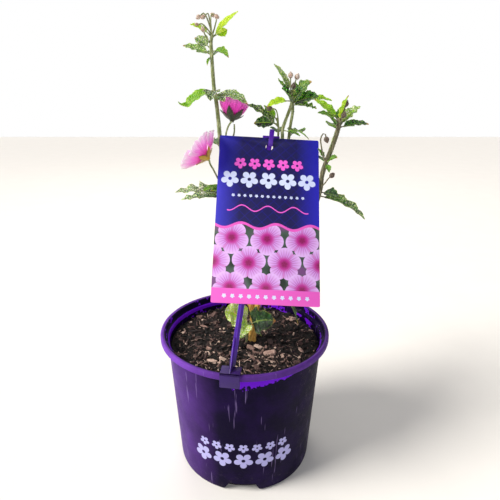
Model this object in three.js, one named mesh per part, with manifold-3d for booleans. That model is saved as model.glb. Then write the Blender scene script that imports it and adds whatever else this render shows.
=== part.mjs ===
// A young shrubby mallow in a nursery pot, with a printed label card on a clip-on stake.
// Millimetres, +Z up, the front towards -Y. The origin is the middle of the pot's flat foot.
import * as THREE from "three";
import { mergeVertices } from "three/addons/utils/BufferGeometryUtils.js";
import Module from "manifold-3d";

const wasm = await Module();
wasm.setup();

// Pot
const potHeight = 120;
const rimRadius = 70;
const rimInnerRadius = 66;
const rimBand = 5;
const wallTopRadius = 64.2;
const footRadius = 57.6;
const wallThickness = 1.3;
const floorThickness = 2.6;
const recessCount = 4;
const recessFootWidth = 33;
const recessRoofWidth = 21;
const recessHeight = 8.5;
const recessInner = 43;

// Potting mix
const soilLevel = 108;
const soilRelief = 1.3;
const chipCount = 32;

// Label card and its stake
const cardWidth = 81.3;
const cardLength = 137.7;
const cardThickness = 0.7;
const cardLean = 35;
const cardYaw = 3.3;
const cardRoll = 4;
const cardCentre = [17.9, 4, 214.2];
const holeHeight = 60.5;
const holeRadius = 3;
const shaftWidth = 4.4;
const shaftThickness = 1.6;
const clipWidth = 14.4;
const clipDepth = 11;
const clipHeight = 11;
const clipWall = 1.6;
const clipTurn = -8.5;
const clearance = 0.3;

// Plant
const bladeThickness = 0.66;
const petalThickness = 0.62;
const youngLength = 13.5;
const budRadius = 2;
const stalkRadius = 0.55;

const colours = {
  pot: 0x2a1a4c,
  soil: 0x2b211d,
  stake: 0x5a1fb0,
  card: 0x3b35a0,
  wood: 0x9a7b45,
  leaf: 0x4f7a2c,
  petal: 0xf58ae0,
  column: 0xe8c8d8,
};

const radians = (degrees) => (degrees * Math.PI) / 180;
const lerp = THREE.MathUtils.lerp;

// Seeded random numbers between 0 and 1
function randomFrom(seed) {
  let state = seed;
  return () => {
    state = (state * 1664525 + 1013904223) % 4294967296;
    return state / 4294967296;
  };
}

function solidOf(geometry) {
  const bare = geometry.clone();
  bare.deleteAttribute("normal");
  bare.deleteAttribute("uv");
  const merged = mergeVertices(bare, 1e-4);
  return new wasm.Manifold(
    new wasm.Mesh({
      numProp: 3,
      vertProperties: new Float32Array(merged.attributes.position.array),
      triVerts: new Uint32Array(merged.index.array),
    }),
  );
}

// Joins solids two by two, so that none of the sums stays lopsided
function joined(solids) {
  let row = solids;
  while (row.length > 1) {
    const next = [];
    for (let i = 0; i < row.length; i += 2) next.push(row[i + 1] ? row[i].add(row[i + 1]) : row[i]);
    row = next;
  }
  return row[0];
}

function meshFrom(solid, name, colour, roughness = 0.6) {
  const made = solid.getMesh();
  const geometry = new THREE.BufferGeometry();
  geometry.setAttribute("position", new THREE.BufferAttribute(made.vertProperties, 3));
  geometry.setIndex(new THREE.BufferAttribute(made.triVerts, 1));
  geometry.computeVertexNormals();
  const material = new THREE.MeshStandardMaterial({ color: colour, roughness, metalness: 0 });
  const mesh = new THREE.Mesh(geometry, material);
  mesh.name = name;
  return mesh;
}

function boxAt(width, depth, height, x, y, z) {
  return new THREE.BoxGeometry(width, depth, height).translate(x, y, z);
}

function curveOf(points) {
  return new THREE.CatmullRomCurve3(points.map((p) => new THREE.Vector3(...p)));
}

// A round stem along a stretch of a curve, thinner towards its end
function stemAlong(curve, from, to, startRadius, endRadius, sides, steps) {
  const geometry = new THREE.CylinderGeometry(1, 1, 1, sides, steps);
  const at = geometry.attributes.position;
  const side = new THREE.Vector3(0.31, -0.95, 0.07);
  const point = new THREE.Vector3();
  for (let i = 0; i < at.count; i += 1) {
    const along = at.getY(i) + 0.5;
    const u = lerp(from, to, along);
    const radius = lerp(startRadius, endRadius, along);
    const tangent = curve.getTangentAt(u);
    const across = side.clone().cross(tangent).normalize();
    const out = across.clone().cross(tangent);
    point.copy(curve.getPointAt(u));
    point.addScaledVector(across, at.getX(i) * radius);
    point.addScaledVector(out, at.getZ(i) * radius);
    at.setXYZ(i, point.x, point.y, point.z);
  }
  return solidOf(geometry);
}

// The place on a rising curve at a height
function atHeight(curve, height) {
  let low = 0;
  let high = 1;
  for (let i = 0; i < 30; i += 1) {
    const middle = (low + high) / 2;
    if (curve.getPointAt(middle).z < height) low = middle;
    else high = middle;
  }
  return curve.getPointAt(low);
}

// A thin blade: a grid of rows, its copy below turned over, and a strip round the edge.
// place(u, v, side) gives each corner, u across from -1 to 1, v along from 0 to 1.
function bladeSolid(rows, columns, place) {
  const grid = new THREE.PlaneGeometry(2, 1, columns, rows);
  const at = grid.attributes.position;
  const points = [];
  for (const side of [0.5, -0.5]) {
    for (let i = 0; i < at.count; i += 1) {
      points.push(...place(at.getX(i), 0.5 - at.getY(i), side).toArray());
    }
  }
  const index = [];
  const face = grid.index.array;
  for (let i = 0; i < face.length; i += 3) {
    const [a, b, c] = [face[i], face[i + 1], face[i + 2]];
    index.push(a, b, c);
    index.push(a + at.count, c + at.count, b + at.count);
  }
  const corner = (ix, iy) => ix + (columns + 1) * iy;
  const loop = [];
  for (let ix = 0; ix < columns; ix += 1) loop.push(corner(ix, rows));
  for (let iy = rows; iy > 0; iy -= 1) loop.push(corner(columns, iy));
  for (let ix = columns; ix > 0; ix -= 1) loop.push(corner(ix, 0));
  for (let iy = 0; iy < rows; iy += 1) loop.push(corner(0, iy));
  loop.forEach((a, i) => {
    const b = loop[(i + 1) % loop.length];
    index.push(b, a, a + at.count);
    index.push(b, a + at.count, b + at.count);
  });
  const geometry = new THREE.BufferGeometry();
  geometry.setAttribute("position", new THREE.Float32BufferAttribute(points, 3));
  geometry.setIndex(index);
  return solidOf(geometry);
}

// Leaf outlines: place along the blade, half width, and how far the edge sweeps forward
const outlines = {
  lobed: [
    [0, 0.08, 0],
    [0.12, 0.7, 0],
    [0.28, 1, 0.16],
    [0.42, 0.62, 0.03],
    [0.58, 0.68, 0.06],
    [0.8, 0.38, 0.04],
    [1, 0.04, 0],
  ],
  toothed: [
    [0, 0.08, 0],
    [0.16, 0.76, 0],
    [0.32, 1, 0.05],
    [0.46, 0.82, 0.02],
    [0.6, 0.82, 0.06],
    [0.8, 0.44, 0.04],
    [1, 0.04, 0],
  ],
  narrow: [
    [0, 0.12, 0],
    [0.2, 0.72, 0],
    [0.42, 1, 0],
    [0.7, 0.7, 0],
    [1, 0.05, 0],
  ],
  broad: [
    [0, 0.08, 0],
    [0.24, 1, 0.1],
    [0.5, 0.64, 0.02],
    [0.72, 0.56, 0.05],
    [1, 0.04, 0],
  ],
  young: [
    [0, 0.12, 0],
    [0.34, 1, 0.04],
    [0.7, 0.66, 0],
    [1, 0.05, 0],
  ],
  round: [
    [0, 0.08, 0],
    [0.12, 0.74, 0],
    [0.34, 1, 0.02],
    [0.6, 0.96, 0.02],
    [0.84, 0.66, 0],
    [1, 0.1, 0],
  ],
};

// One leaf from a point on its stem. Angles in degrees: the azimuth turns from +X to +Y,
// the pitch is above level, the droop bends the whole length down and the curl its last third.
function leafSolid(root, leaf, inset) {
  const outline = outlines[leaf.shape ?? (leaf.length < youngLength ? "young" : "toothed")];
  const total = leaf.stalk + leaf.length;
  const steps = 24;
  const azimuth = radians(leaf.azimuth);
  const way = new THREE.Vector3(Math.cos(azimuth), Math.sin(azimuth), 0);
  const spine = [root.clone().addScaledVector(way, inset)];
  const tangents = [];
  for (let i = 0; i <= steps; i += 1) {
    const s = i / steps;
    const bend = leaf.droop * s - (leaf.curl ?? 0) * Math.max(0, (s - 0.66) / 0.34);
    const pitch = radians(leaf.pitch - bend);
    const turn = azimuth + radians(leaf.sweep ?? 0) * s;
    const tangent = new THREE.Vector3(
      Math.cos(pitch) * Math.cos(turn),
      Math.cos(pitch) * Math.sin(turn),
      Math.sin(pitch),
    );
    tangents.push(tangent);
    if (i < steps) spine.push(spine[i].clone().addScaledVector(tangent, total / steps));
  }
  const fold = radians(leaf.fold ?? 18);
  const rows = outline.length;
  return bladeSolid(rows, 2, (u, v, side) => {
    const row = Math.round(v * rows);
    const [s, half, sweep] = row === 0 ? [0, 0.06, 0] : outline[row - 1];
    const distance = row === 0 ? 0 : leaf.stalk + (s + Math.abs(u) * sweep) * leaf.length;
    const place = Math.min((distance / total) * steps, steps - 1e-6);
    const i = Math.floor(place);
    const point = spine[i].clone().lerp(spine[i + 1], place - i);
    const tangent = tangents[Math.round(place)];
    const level = new THREE.Vector3(-Math.sin(azimuth), Math.cos(azimuth), 0);
    const across = level.clone().addScaledVector(tangent, -level.dot(tangent)).normalize();
    across.applyAxisAngle(tangent, radians(leaf.roll ?? 0));
    const up = tangent.clone().cross(across);
    const reach = Math.max(half * leaf.width * 0.5, 0.55);
    const wave = row > 1 && row < rows ? (leaf.wave ?? 0.045 * leaf.width) * (row % 2 ? 1 : -1) : 0;
    const lift = row > 1 ? Math.abs(u) * (reach * Math.tan(fold) + wave) : 0;
    point.addScaledVector(across, u * reach);
    point.addScaledVector(up, lift + (side * bladeThickness) / Math.cos(fold));
    return point;
  });
}

// A hanging or upright bud: a pointed egg at the end of its stalk
function budSolids(route, radius = budRadius, length = 5) {
  const curve = curveOf(route);
  const end = curve.getPointAt(1);
  const way = curve.getTangentAt(1);
  const egg = new THREE.SphereGeometry(1, 5, 4);
  const at = egg.attributes.position;
  for (let i = 0; i < at.count; i += 1) {
    const y = at.getY(i);
    const slim = y > 0 ? 1 - 0.35 * y : 1;
    at.setXYZ(i, at.getX(i) * radius * slim, (y + 0.7) * length * 0.5, at.getZ(i) * radius * slim);
  }
  egg.applyQuaternion(new THREE.Quaternion().setFromUnitVectors(new THREE.Vector3(0, 1, 0), way));
  egg.translate(end.x, end.y, end.z);
  return [stemAlong(curve, 0, 1, stalkRadius + 0.15, stalkRadius, 4, 4), solidOf(egg)];
}

// Stem routes, from the fork of the woody foot to the tip
const leftRoute = [
  [7, 3, 132],
  [3, 6, 144],
  [-3, 11, 162],
  [-9, 20, 195],
  [-14, 29, 225],
  [-18, 40, 252],
  [-20.5, 46, 271],
  [-21.5, 47, 284],
  [-23.2, 48, 300],
  [-24.6, 48, 309],
  [-25.8, 49, 330],
  [-26.3, 50, 343],
  [-25.2, 50, 348],
];
const centreRoute = [
  [7.5, 4, 133],
  [9.5, 9, 148],
  [14, 16, 172],
  [20, 24, 198],
  [25.5, 35, 229],
  [29.5, 45, 256],
  [31.5, 49, 271],
  [31.2, 49.5, 276],
  [33.7, 50, 284],
  [38.3, 50, 298],
  [37.6, 50, 306],
];
const companionRoute = [
  [26.5, 37, 234],
  [31, 45, 248],
  [36.4, 52, 265],
  [38, 53.5, 278],
  [39.7, 53, 292],
  [38.6, 51, 300],
];
const sideRoute = [
  [26.5, 37, 235],
  [26, 43, 246],
  [27, 50, 260],
  [28.1, 51, 278],
  [26.5, 50.5, 286],
];
const rightRoute = [
  [8, 2, 131],
  [14, 4, 144],
  [25, 8, 160],
  [42, 16, 190],
  [55.6, 22.5, 213],
  [61.4, 26, 231],
  [62.4, 26.5, 243],
  [64.6, 26.5, 252],
  [68.2, 26, 263],
  [71.4, 26, 274],
  [73, 26, 281],
  [73.4, 26, 287],
];
const lowRoute = [
  [1.2, -5.6, 101],
  [1.6, -5.8, 112],
  [3.2, -5, 121],
  [4.6, -4.4, 127],
];

// Leaves by height on their stem: how each one leaves it, how it bends, and its size
const leafAt = (height, azimuth, pitch, droop, length, width, stalk, more = {}) => ({
  height,
  azimuth,
  pitch,
  droop,
  length,
  width,
  stalk,
  ...more,
});
const leftLeaves = [
  leafAt(346, 6, 46, 6, 24, 7, 3, { fold: 30, roll: 40, shape: "narrow" }),
  leafAt(346, 35, 30, 10, 10, 9, 5, { roll: 60 }),
  leafAt(347, 187, 46, 40, 14, 7, 4, { fold: 12, roll: -35 }),
  leafAt(338, 150, 46, 34, 13, 11, 4, { shape: "lobed", roll: -50 }),
  leafAt(334, 190, 22, 14, 19, 11, 3, { shape: "lobed", roll: -40 }),
  leafAt(336, 338, 6, 52, 13, 9, 2, { fold: 30, roll: 25 }),
  leafAt(333, 232, -48, 20, 7, 4, 1.5, { roll: 10 }),
  leafAt(331, 90, 40, 50, 15, 11, 4, { shape: "broad" }),
  leafAt(307, 197, -6, 62, 30, 11, 3, { curl: 140, roll: -30 }),
  leafAt(306, 262, 12, 70, 15, 14, 3, { shape: "lobed" }),
  leafAt(303, 300, 6, 44, 13, 11, 3, { shape: "lobed", roll: 30 }),
  leafAt(304, 338, 10, 52, 25, 11, 4, { roll: 30 }),
  leafAt(302, 95, 20, 50, 20, 15, 5, { shape: "broad" }),
  leafAt(226, 186, 16, 24, 35, 17, 7, { shape: "lobed", roll: -12, wave: 1.3 }),
  leafAt(224, 172, 5, 20, 31, 16, 8, { shape: "lobed", roll: -10, wave: 1.2 }),
  leafAt(230, 198, 34, 74, 17, 7, 4, { roll: -10 }),
  leafAt(229, 222, 20, 20, 12, 8, 4, { roll: -20 }),
  leafAt(262, 120, 30, 50, 22, 16, 7, { shape: "broad" }),
  leafAt(244, 50, 24, 45, 20, 15, 6, { shape: "broad" }),
  leafAt(206, 75, 28, 52, 24, 18, 8, { shape: "broad" }),
  leafAt(174, 112, 14, 50, 24, 18, 8, { shape: "broad" }),
];
const centreLeaves = [
  leafAt(299, 196, 6, 36, 17, 8, 4, { fold: 25, roll: -35 }),
  leafAt(298, 214, 52, 30, 14, 13, 2, { roll: -55 }),
  leafAt(298, 336, 56, 26, 21, 15, 2, { roll: 50, shape: "lobed" }),
  leafAt(297, 330, 18, 24, 21, 15, 2, { roll: 40, shape: "lobed" }),
  leafAt(304, 172, 66, 14, 23, 8, 4, { roll: -30, fold: 30 }),
  leafAt(303, 150, 50, 10, 13, 9, 5, { curl: 30 }),
  leafAt(298, 6, 18, 32, 28, 14, 5, { roll: 20, shape: "lobed" }),
  leafAt(296, 350, 4, 24, 15, 11, 5, { roll: 15, wave: 1 }),
  leafAt(301, 80, 34, 50, 20, 15, 5, { shape: "broad" }),
  leafAt(276, 338, -6, 18, 12, 6, 3, { fold: 30 }),
  leafAt(248, 20, 24, 50, 22, 17, 8, { shape: "broad" }),
  leafAt(236, 110, 24, 52, 25, 19, 9, { shape: "broad" }),
  leafAt(204, 96, 26, 54, 25, 19, 9, { shape: "broad" }),
  leafAt(182, 130, 16, 46, 22, 17, 8, { shape: "broad" }),
  leafAt(164, 70, 10, 44, 24, 19, 8, { shape: "broad" }),
];
const companionLeaves = [
  leafAt(277, 345, -8, 40, 16, 4, 2, { shape: "narrow" }),
  leafAt(270, 60, 28, 48, 22, 17, 7, { shape: "broad" }),
];
const sideLeaves = [
  leafAt(279, 196, 44, 22, 28, 15, 4, { roll: -35, shape: "lobed" }),
  leafAt(281, 158, 10, 20, 17, 13, 4, { roll: -50 }),
  leafAt(284, 172, 56, 20, 13, 9, 3, { roll: -30 }),
  leafAt(272, 90, 30, 46, 18, 13, 5, { shape: "broad" }),
];
const rightLeaves = [
  leafAt(285, 300, 76, 14, 18, 9, 2, { fold: 26, roll: 30 }),
  leafAt(285, 162, 52, 28, 21, 9, 4, { roll: -30 }),
  leafAt(284, 200, 36, 30, 16, 8, 4, { roll: -30 }),
  leafAt(280, 200, 52, 10, 10, 5, 3),
  leafAt(279, 216, 24, 10, 9, 5, 2),
  leafAt(281, 15, 54, 26, 18, 9, 4, { fold: 28, roll: 30, wave: 1 }),
  leafAt(280, 346, 20, 26, 19, 11, 3, { roll: 25, shape: "lobed" }),
  leafAt(278, 95, 30, 50, 19, 14, 5, { shape: "broad" }),
  leafAt(283, 70, 50, 40, 16, 12, 4, { shape: "broad" }),
  leafAt(254, 350, 80, 4, 22, 4, 4, { shape: "narrow", fold: 30 }),
  leafAt(253, 306, 40, 30, 10, 9, 2, { roll: 30 }),
  leafAt(253, 280, -30, 20, 8, 5, 2),
  leafAt(254, 140, 56, 10, 9, 6, 3),
  leafAt(251, 80, 24, 48, 20, 15, 6, { shape: "broad" }),
  leafAt(229, 326, 6, 30, 12, 10, 3, { roll: 20 }),
  leafAt(226, 350, -8, 36, 38, 12, 4, { fold: 28, roll: 20, wave: 0.8 }),
  leafAt(231, 110, 22, 52, 24, 18, 8, { shape: "broad" }),
  leafAt(184, 60, 14, 50, 22, 17, 8, { shape: "broad" }),
  leafAt(166, 338, -16, 54, 22, 15, 8, { shape: "broad" }),
  leafAt(162, 320, -46, 26, 34, 4.5, 9, { shape: "narrow" }),
];
const lowLeaves = [
  leafAt(124, 192, 52, 34, 20, 22, 5, { roll: -45, shape: "round", wave: 1.3 }),
  leafAt(124, 205, 62, 30, 16, 14, 4, { roll: -20, shape: "round", wave: 1.1 }),
  leafAt(124, 328, 44, 42, 23, 24, 4, { roll: 72, shape: "lobed" }),
  leafAt(125, 240, 16, 70, 12, 12, 2, { roll: -10, shape: "round", wave: 1 }),
  leafAt(118, 222, 6, 34, 9, 9, 1.5, { wave: 1 }),
  leafAt(114, 205, 10, 20, 6, 7, 2),
];

// Buds: the route of each stalk, the last stretch is the way the bud points
const leftBuds = [
  [[-25.2, 50, 347], [-28, 49, 357], [-31, 48, 362.5], [-34, 47, 360.5]],
  [[-25.2, 50, 347], [-27, 51, 358], [-28.4, 52, 363], [-31, 53, 361.5]],
  [[-25.2, 50, 347], [-26, 48, 357], [-25, 47, 362], [-22.4, 46, 360.5]],
  [[-25.2, 50, 347], [-22.5, 52, 356], [-21.8, 53, 360], [-23.6, 54, 361.5]],
  [[-25.2, 50, 347], [-29, 50, 352], [-33, 50, 355.5], [-36, 50, 355]],
  [[-26.2, 50, 341], [-28.6, 48.5, 344], [-30.6, 47.5, 347.5], [-31.6, 47, 350]],
];
const centreBuds = [
  [[37.6, 50, 304], [36.8, 49, 312], [36.6, 48.6, 317]],
  [[37.6, 50, 304], [40, 50, 312], [41.4, 49.6, 316]],
  [[37.8, 50, 300], [38.6, 47.5, 306], [38.8, 46.4, 309]],
];
const sideBuds = [[[28.1, 51, 278], [27.2, 49.6, 287], [25.2, 47.6, 292.6], [21.6, 46, 293.4]]];
const rightBuds = [
  [[72.6, 26, 284], [75.4, 24.4, 291], [76.6, 23.8, 296]],
  [[72.4, 26, 280], [74.2, 23.4, 285], [75, 22.2, 288]],
  [[64.4, 26.5, 253], [61, 24, 262], [59, 22, 273], [61.4, 20.6, 276.4], [62.6, 20, 273]],
  [[61.5, 26, 233], [64.8, 24, 237], [66.6, 22.6, 240.5], [68.4, 22, 242.4]],
];

function leafSolids(curve, leaves, inset = 0.9) {
  return leaves.map((leaf) => leafSolid(atHeight(curve, leaf.height), leaf, inset));
}

function budsFrom(routes) {
  return routes.flatMap((route) => budSolids(route));
}

// A flower's own frame: the axis along +Z from the foot of its calyx
function flowerFrame(foot, towards) {
  const way = new THREE.Vector3(...towards).normalize();
  const turn = new THREE.Quaternion().setFromUnitVectors(new THREE.Vector3(0, 0, 1), way);
  return new THREE.Matrix4().compose(new THREE.Vector3(...foot), turn, new THREE.Vector3(1, 1, 1));
}

// Green cup with five pointed lobes that lie against the petals from outside
function calyxSolids(frame, cupHeight, lobeLength, lobeWidth, spread) {
  const cup = new THREE.CylinderGeometry(3.4, 1.4, cupHeight, 10, 1);
  cup.rotateX(Math.PI / 2);
  cup.translate(0, 0, cupHeight / 2);
  cup.applyMatrix4(frame);
  const lobes = [];
  for (let k = 0; k < 5; k += 1) {
    const turn = (k * 2 * Math.PI) / 5 + 0.6;
    const halves = [0.86, 1, 0.74, 0.06];
    lobes.push(
      bladeSolid(3, 2, (u, v, side) => {
        const row = Math.round(v * 3);
        const pitch = radians(lerp(spread[0], spread[1], v));
        const out = 2.5 + v * lobeLength * Math.sin(pitch) + side * 0.7 * Math.cos(pitch);
        const up = cupHeight - 0.9 + v * lobeLength * Math.cos(pitch) - side * 0.7 * Math.sin(pitch);
        const across = u * halves[row] * lobeWidth * 0.5;
        const point = new THREE.Vector3(
          out * Math.cos(turn) + across * Math.sin(turn),
          out * Math.sin(turn) - across * Math.cos(turn),
          up,
        );
        return point.applyMatrix4(frame);
      }),
    );
  }
  return [solidOf(cup), ...lobes];
}

// Five broad overlapping petals that rise from a small shared base
function petalsSolid(frame, start, radius, depth, cupping, flare) {
  const base = new THREE.CylinderGeometry(2.2, 1.6, 1.6, 10, 1);
  base.rotateX(Math.PI / 2);
  base.translate(0, 0, start + 0.8);
  base.applyMatrix4(frame);
  const petals = [];
  for (let k = 0; k < 5; k += 1) {
    const turn = (k * 2 * Math.PI) / 5;
    petals.push(
      bladeSolid(5, 4, (u, v, side) => {
        const bulge = 1 - 0.1 * u * u * v - 0.03 * Math.cos(3 * Math.PI * u) * v;
        const reach = lerp(1.1, radius * bulge, v ** flare);
        const rise = depth * v ** cupping + 0.9 * u * v;
        const spread = radians(22 + 22 * Math.min(1, v * 1.5)) * (v > 0.9 ? 0.86 : 1);
        const angle = turn + u * spread;
        const slope = Math.atan2(depth * cupping * Math.max(v, 0.08) ** (cupping - 1), radius);
        const wave = 0.35 * Math.sin(5 * angle + 2 * k) * v;
        const out = reach - side * petalThickness * Math.sin(slope);
        const up = start + 0.4 + rise + wave + side * petalThickness * Math.cos(slope);
        return new THREE.Vector3(out * Math.cos(angle), out * Math.sin(angle), up).applyMatrix4(frame);
      }),
    );
  }
  return joined([solidOf(base), ...petals]);
}

// The column of joined stamens in the flower's throat
function columnSolid(frame, start, height) {
  const stalk = new THREE.CylinderGeometry(0.6, 1, height, 6, 1);
  stalk.rotateX(Math.PI / 2);
  stalk.translate(0, 0, start + height / 2);
  stalk.applyMatrix4(frame);
  const parts = [solidOf(stalk)];
  for (let k = 0; k < 5; k += 1) {
    const angle = k * 2.4;
    const grain = new THREE.OctahedronGeometry(1, 0);
    const out = k === 4 ? 0 : 0.95;
    grain.translate(out * Math.cos(angle), out * Math.sin(angle), start + height - 1.6 + 0.45 * k);
    grain.applyMatrix4(frame);
    parts.push(solidOf(grain));
  }
  return joined(parts);
}

function turned(profile, segments) {
  const points = profile.map(([r, z]) => new THREE.Vector2(r, z));
  return solidOf(new THREE.LatheGeometry(points, segments).rotateX(Math.PI / 2));
}

// The drainage recesses at the foot, open outwards and downwards, each side grown by a margin
function recessSolids(grow) {
  const outline = new THREE.Shape([
    new THREE.Vector2(-recessFootWidth / 2 - grow, -2),
    new THREE.Vector2(recessFootWidth / 2 + grow, -2),
    new THREE.Vector2(recessRoofWidth / 2 + grow, recessHeight + grow),
    new THREE.Vector2(-recessRoofWidth / 2 - grow, recessHeight + grow),
  ]);
  return Array.from({ length: recessCount }, (_, k) => {
    const wedge = new THREE.ExtrudeGeometry(outline, { depth: 22, bevelEnabled: false });
    wedge.rotateX(Math.PI / 2);
    wedge.translate(0, grow - recessInner, 0);
    wedge.rotateZ(radians(-2.2) + (k * 2 * Math.PI) / recessCount);
    return solidOf(wedge);
  });
}

// The pot: one turned shell with a flanged rim and four drainage recesses round its foot
function makePot() {
  const shoulder = potHeight - rimBand;
  const outside = [
    [0, 0],
    [footRadius - 2.4, 0],
    [footRadius, 2.6],
    [wallTopRadius, shoulder - 0.6],
    [rimRadius, shoulder + 0.2],
    [rimRadius, potHeight - 1],
    [rimRadius - 0.8, potHeight],
  ];
  const inside = [
    [rimInnerRadius + 0.3, potHeight],
    [rimInnerRadius - 0.4, shoulder + 0.7],
    [wallTopRadius - wallThickness, shoulder - 2],
    [footRadius - wallThickness, 4.6],
    [footRadius - wallThickness - 2, floorThickness],
    [0, floorThickness],
  ];
  const whole = turned([...outside, [0, potHeight]], 40);
  const shell = turned([...outside, ...inside], 40);
  const boxes = joined(recessSolids(wallThickness)).intersect(whole);
  return shell.add(boxes).subtract(joined(recessSolids(0)));
}

// Height of the mix's uneven top
function soilHeight(x, y) {
  const slow = Math.sin(0.11 * x + 1.3) * Math.cos(0.13 * y - 0.4);
  const quick = Math.sin(0.47 * x - 0.38 * y) * Math.cos(0.41 * y + 0.9);
  return soilLevel + soilRelief * (0.6 * slow + 0.4 * quick);
}

// The mix fills the pot, bark chips lie half sunk in its top, and each stem has a plain hole
function makeMix(holes) {
  const wallAt = (z) => lerp(footRadius, wallTopRadius, (z - 3) / 111.4) - wallThickness - clearance;
  const profile = [
    [0, floorThickness + clearance],
    [wallAt(5) - 2.2, floorThickness + clearance],
    [wallAt(5), 5.4],
    [wallAt(105), 105],
    [wallAt(107), 107],
  ];
  for (const share of [0.85, 0.66, 0.46, 0.24]) profile.push([wallAt(107) * share, soilLevel]);
  profile.push([0, soilLevel]);
  const body = new THREE.LatheGeometry(profile.map(([r, z]) => new THREE.Vector2(r, z)), 24);
  body.rotateX(Math.PI / 2);
  const at = body.attributes.position;
  for (let i = 0; i < at.count; i += 1) {
    if (at.getZ(i) > 107.5) at.setZ(i, soilHeight(at.getX(i), at.getY(i)));
  }
  const parts = [solidOf(body).subtract(joined(recessSolids(wallThickness + clearance)))];
  const random = randomFrom(41);
  for (let k = 0; k < chipCount; k += 1) {
    const distance = 54 * Math.sqrt((k + 0.5) / chipCount);
    const angle = k * 2.39996 + random() * 0.6;
    const length = 3.5 + 5 * random() ** 2;
    const chip = new THREE.BoxGeometry(length, length * (0.35 + 0.3 * random()), 1.2 + 1.2 * random());
    chip.rotateX(0.5 * (random() - 0.5));
    chip.rotateY(0.5 * (random() - 0.5));
    chip.rotateZ(random() * Math.PI);
    const x = distance * Math.cos(angle);
    const y = distance * Math.sin(angle);
    const nearHole = holes.some((hole) => Math.hypot(x - hole.x, y - hole.y) < hole.radius + 5);
    if (nearHole) continue;
    chip.translate(x, y, soilHeight(x, y) + 0.35);
    parts.push(solidOf(chip));
  }
  let mix = joined(parts);
  for (const hole of holes) {
    const cut = new THREE.CylinderGeometry(hole.radius, hole.radius, 30, 12);
    cut.rotateX(Math.PI / 2);
    cut.translate(hole.x, hole.y, hole.bottom + 15);
    mix = mix.subtract(solidOf(cut));
  }
  return mix;
}

// The card in its own frame: x across, y through to the back, z along its length
function makeCard() {
  const corner = 1.2;
  const halfWidth = cardWidth / 2;
  const halfLength = cardLength / 2;
  const outline = new THREE.Shape();
  outline.absarc(halfWidth - corner, halfLength - corner, corner, 0, Math.PI / 2);
  outline.absarc(corner - halfWidth, halfLength - corner, corner, Math.PI / 2, Math.PI);
  outline.absarc(corner - halfWidth, corner - halfLength, corner, Math.PI, Math.PI * 1.5);
  outline.absarc(halfWidth - corner, corner - halfLength, corner, Math.PI * 1.5, Math.PI * 2);
  const hole = new THREE.Path();
  hole.absarc(0, holeHeight, holeRadius, 0, Math.PI * 2, true);
  outline.holes.push(hole);
  const card = new THREE.ExtrudeGeometry(outline, {
    depth: cardThickness,
    bevelEnabled: false,
    curveSegments: 5,
  });
  card.rotateX(Math.PI / 2);
  card.translate(0, cardThickness, 0);
  return solidOf(card);
}

const cardPlace = new THREE.Matrix4().compose(
  new THREE.Vector3(...cardCentre),
  new THREE.Quaternion().setFromEuler(
    new THREE.Euler(radians(-cardLean), radians(cardRoll), radians(cardYaw), "ZXY"),
  ),
  new THREE.Vector3(1, 1, 1),
);

// A band of even width along a line of points, as a flat shape
function bandShape(line, half) {
  const points = line.map((p) => new THREE.Vector2(...p));
  const sides = [[], []];
  points.forEach((p, i) => {
    const ahead = points[Math.min(i + 1, points.length - 1)];
    const behind = points[Math.max(i - 1, 0)];
    const way = ahead.clone().sub(behind).normalize();
    const out = new THREE.Vector2(-way.y, way.x).multiplyScalar(half);
    sides[0].push(p.clone().add(out));
    sides[1].unshift(p.clone().sub(out));
  });
  return new THREE.Shape([...sides[0], ...sides[1]]);
}

// The stake: rim clip, tapered shaft with a stiffening fin, cross bar and the hook over the card
function makeStake() {
  const back = cardThickness + clearance;
  const middle = back + shaftThickness / 2;
  const parts = [];
  const shaftFoot = [-22.9, middle, -116.4];
  const shaftTop = [1.2, middle, 70.4];
  const shaft = new THREE.BoxGeometry(shaftWidth, shaftThickness, 1, 1, 1, 6);
  const at = shaft.attributes.position;
  for (let i = 0; i < at.count; i += 1) {
    const t = at.getZ(i) + 0.5;
    const bow = 1.2 * Math.sin(Math.PI * t);
    const x = at.getX(i) + lerp(shaftFoot[0], shaftTop[0], t) - bow;
    at.setXYZ(i, x, at.getY(i) + middle, lerp(shaftFoot[2], shaftTop[2], t));
  }
  parts.push(solidOf(shaft.applyMatrix4(cardPlace)));
  const bar = boxAt(14, shaftThickness, 2.4, 1.5, middle, 70.3);
  parts.push(solidOf(bar.applyMatrix4(cardPlace)));
  const loop = [
    [middle, 69.6],
    [middle, 71.8],
    [middle - 0.6, 74],
    [0, 75.4],
    [-1.9, 75],
    [-3, 73],
    [-3.2, 70],
    [-2.8, 66],
    [-1.9, 63],
    [-0.4, 61.2],
  ];
  const hook = new THREE.ExtrudeGeometry(bandShape(loop, 0.8), { depth: 3.8, bevelEnabled: false });
  hook.applyMatrix4(new THREE.Matrix4().set(0, 0, 1, -1.9, 1, 0, 0, 0, 0, 1, 0, 0, 0, 0, 0, 1));
  const lean = hook.attributes.position;
  for (let i = 0; i < lean.count; i += 1) {
    lean.setX(i, lean.getX(i) + 0.7 + THREE.MathUtils.clamp((lean.getZ(i) - 62) * 0.09, 0, 1.1));
  }
  parts.push(solidOf(hook.applyMatrix4(cardPlace)));
  parts.push(...clipSolids());
  return joined(parts);
}

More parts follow.
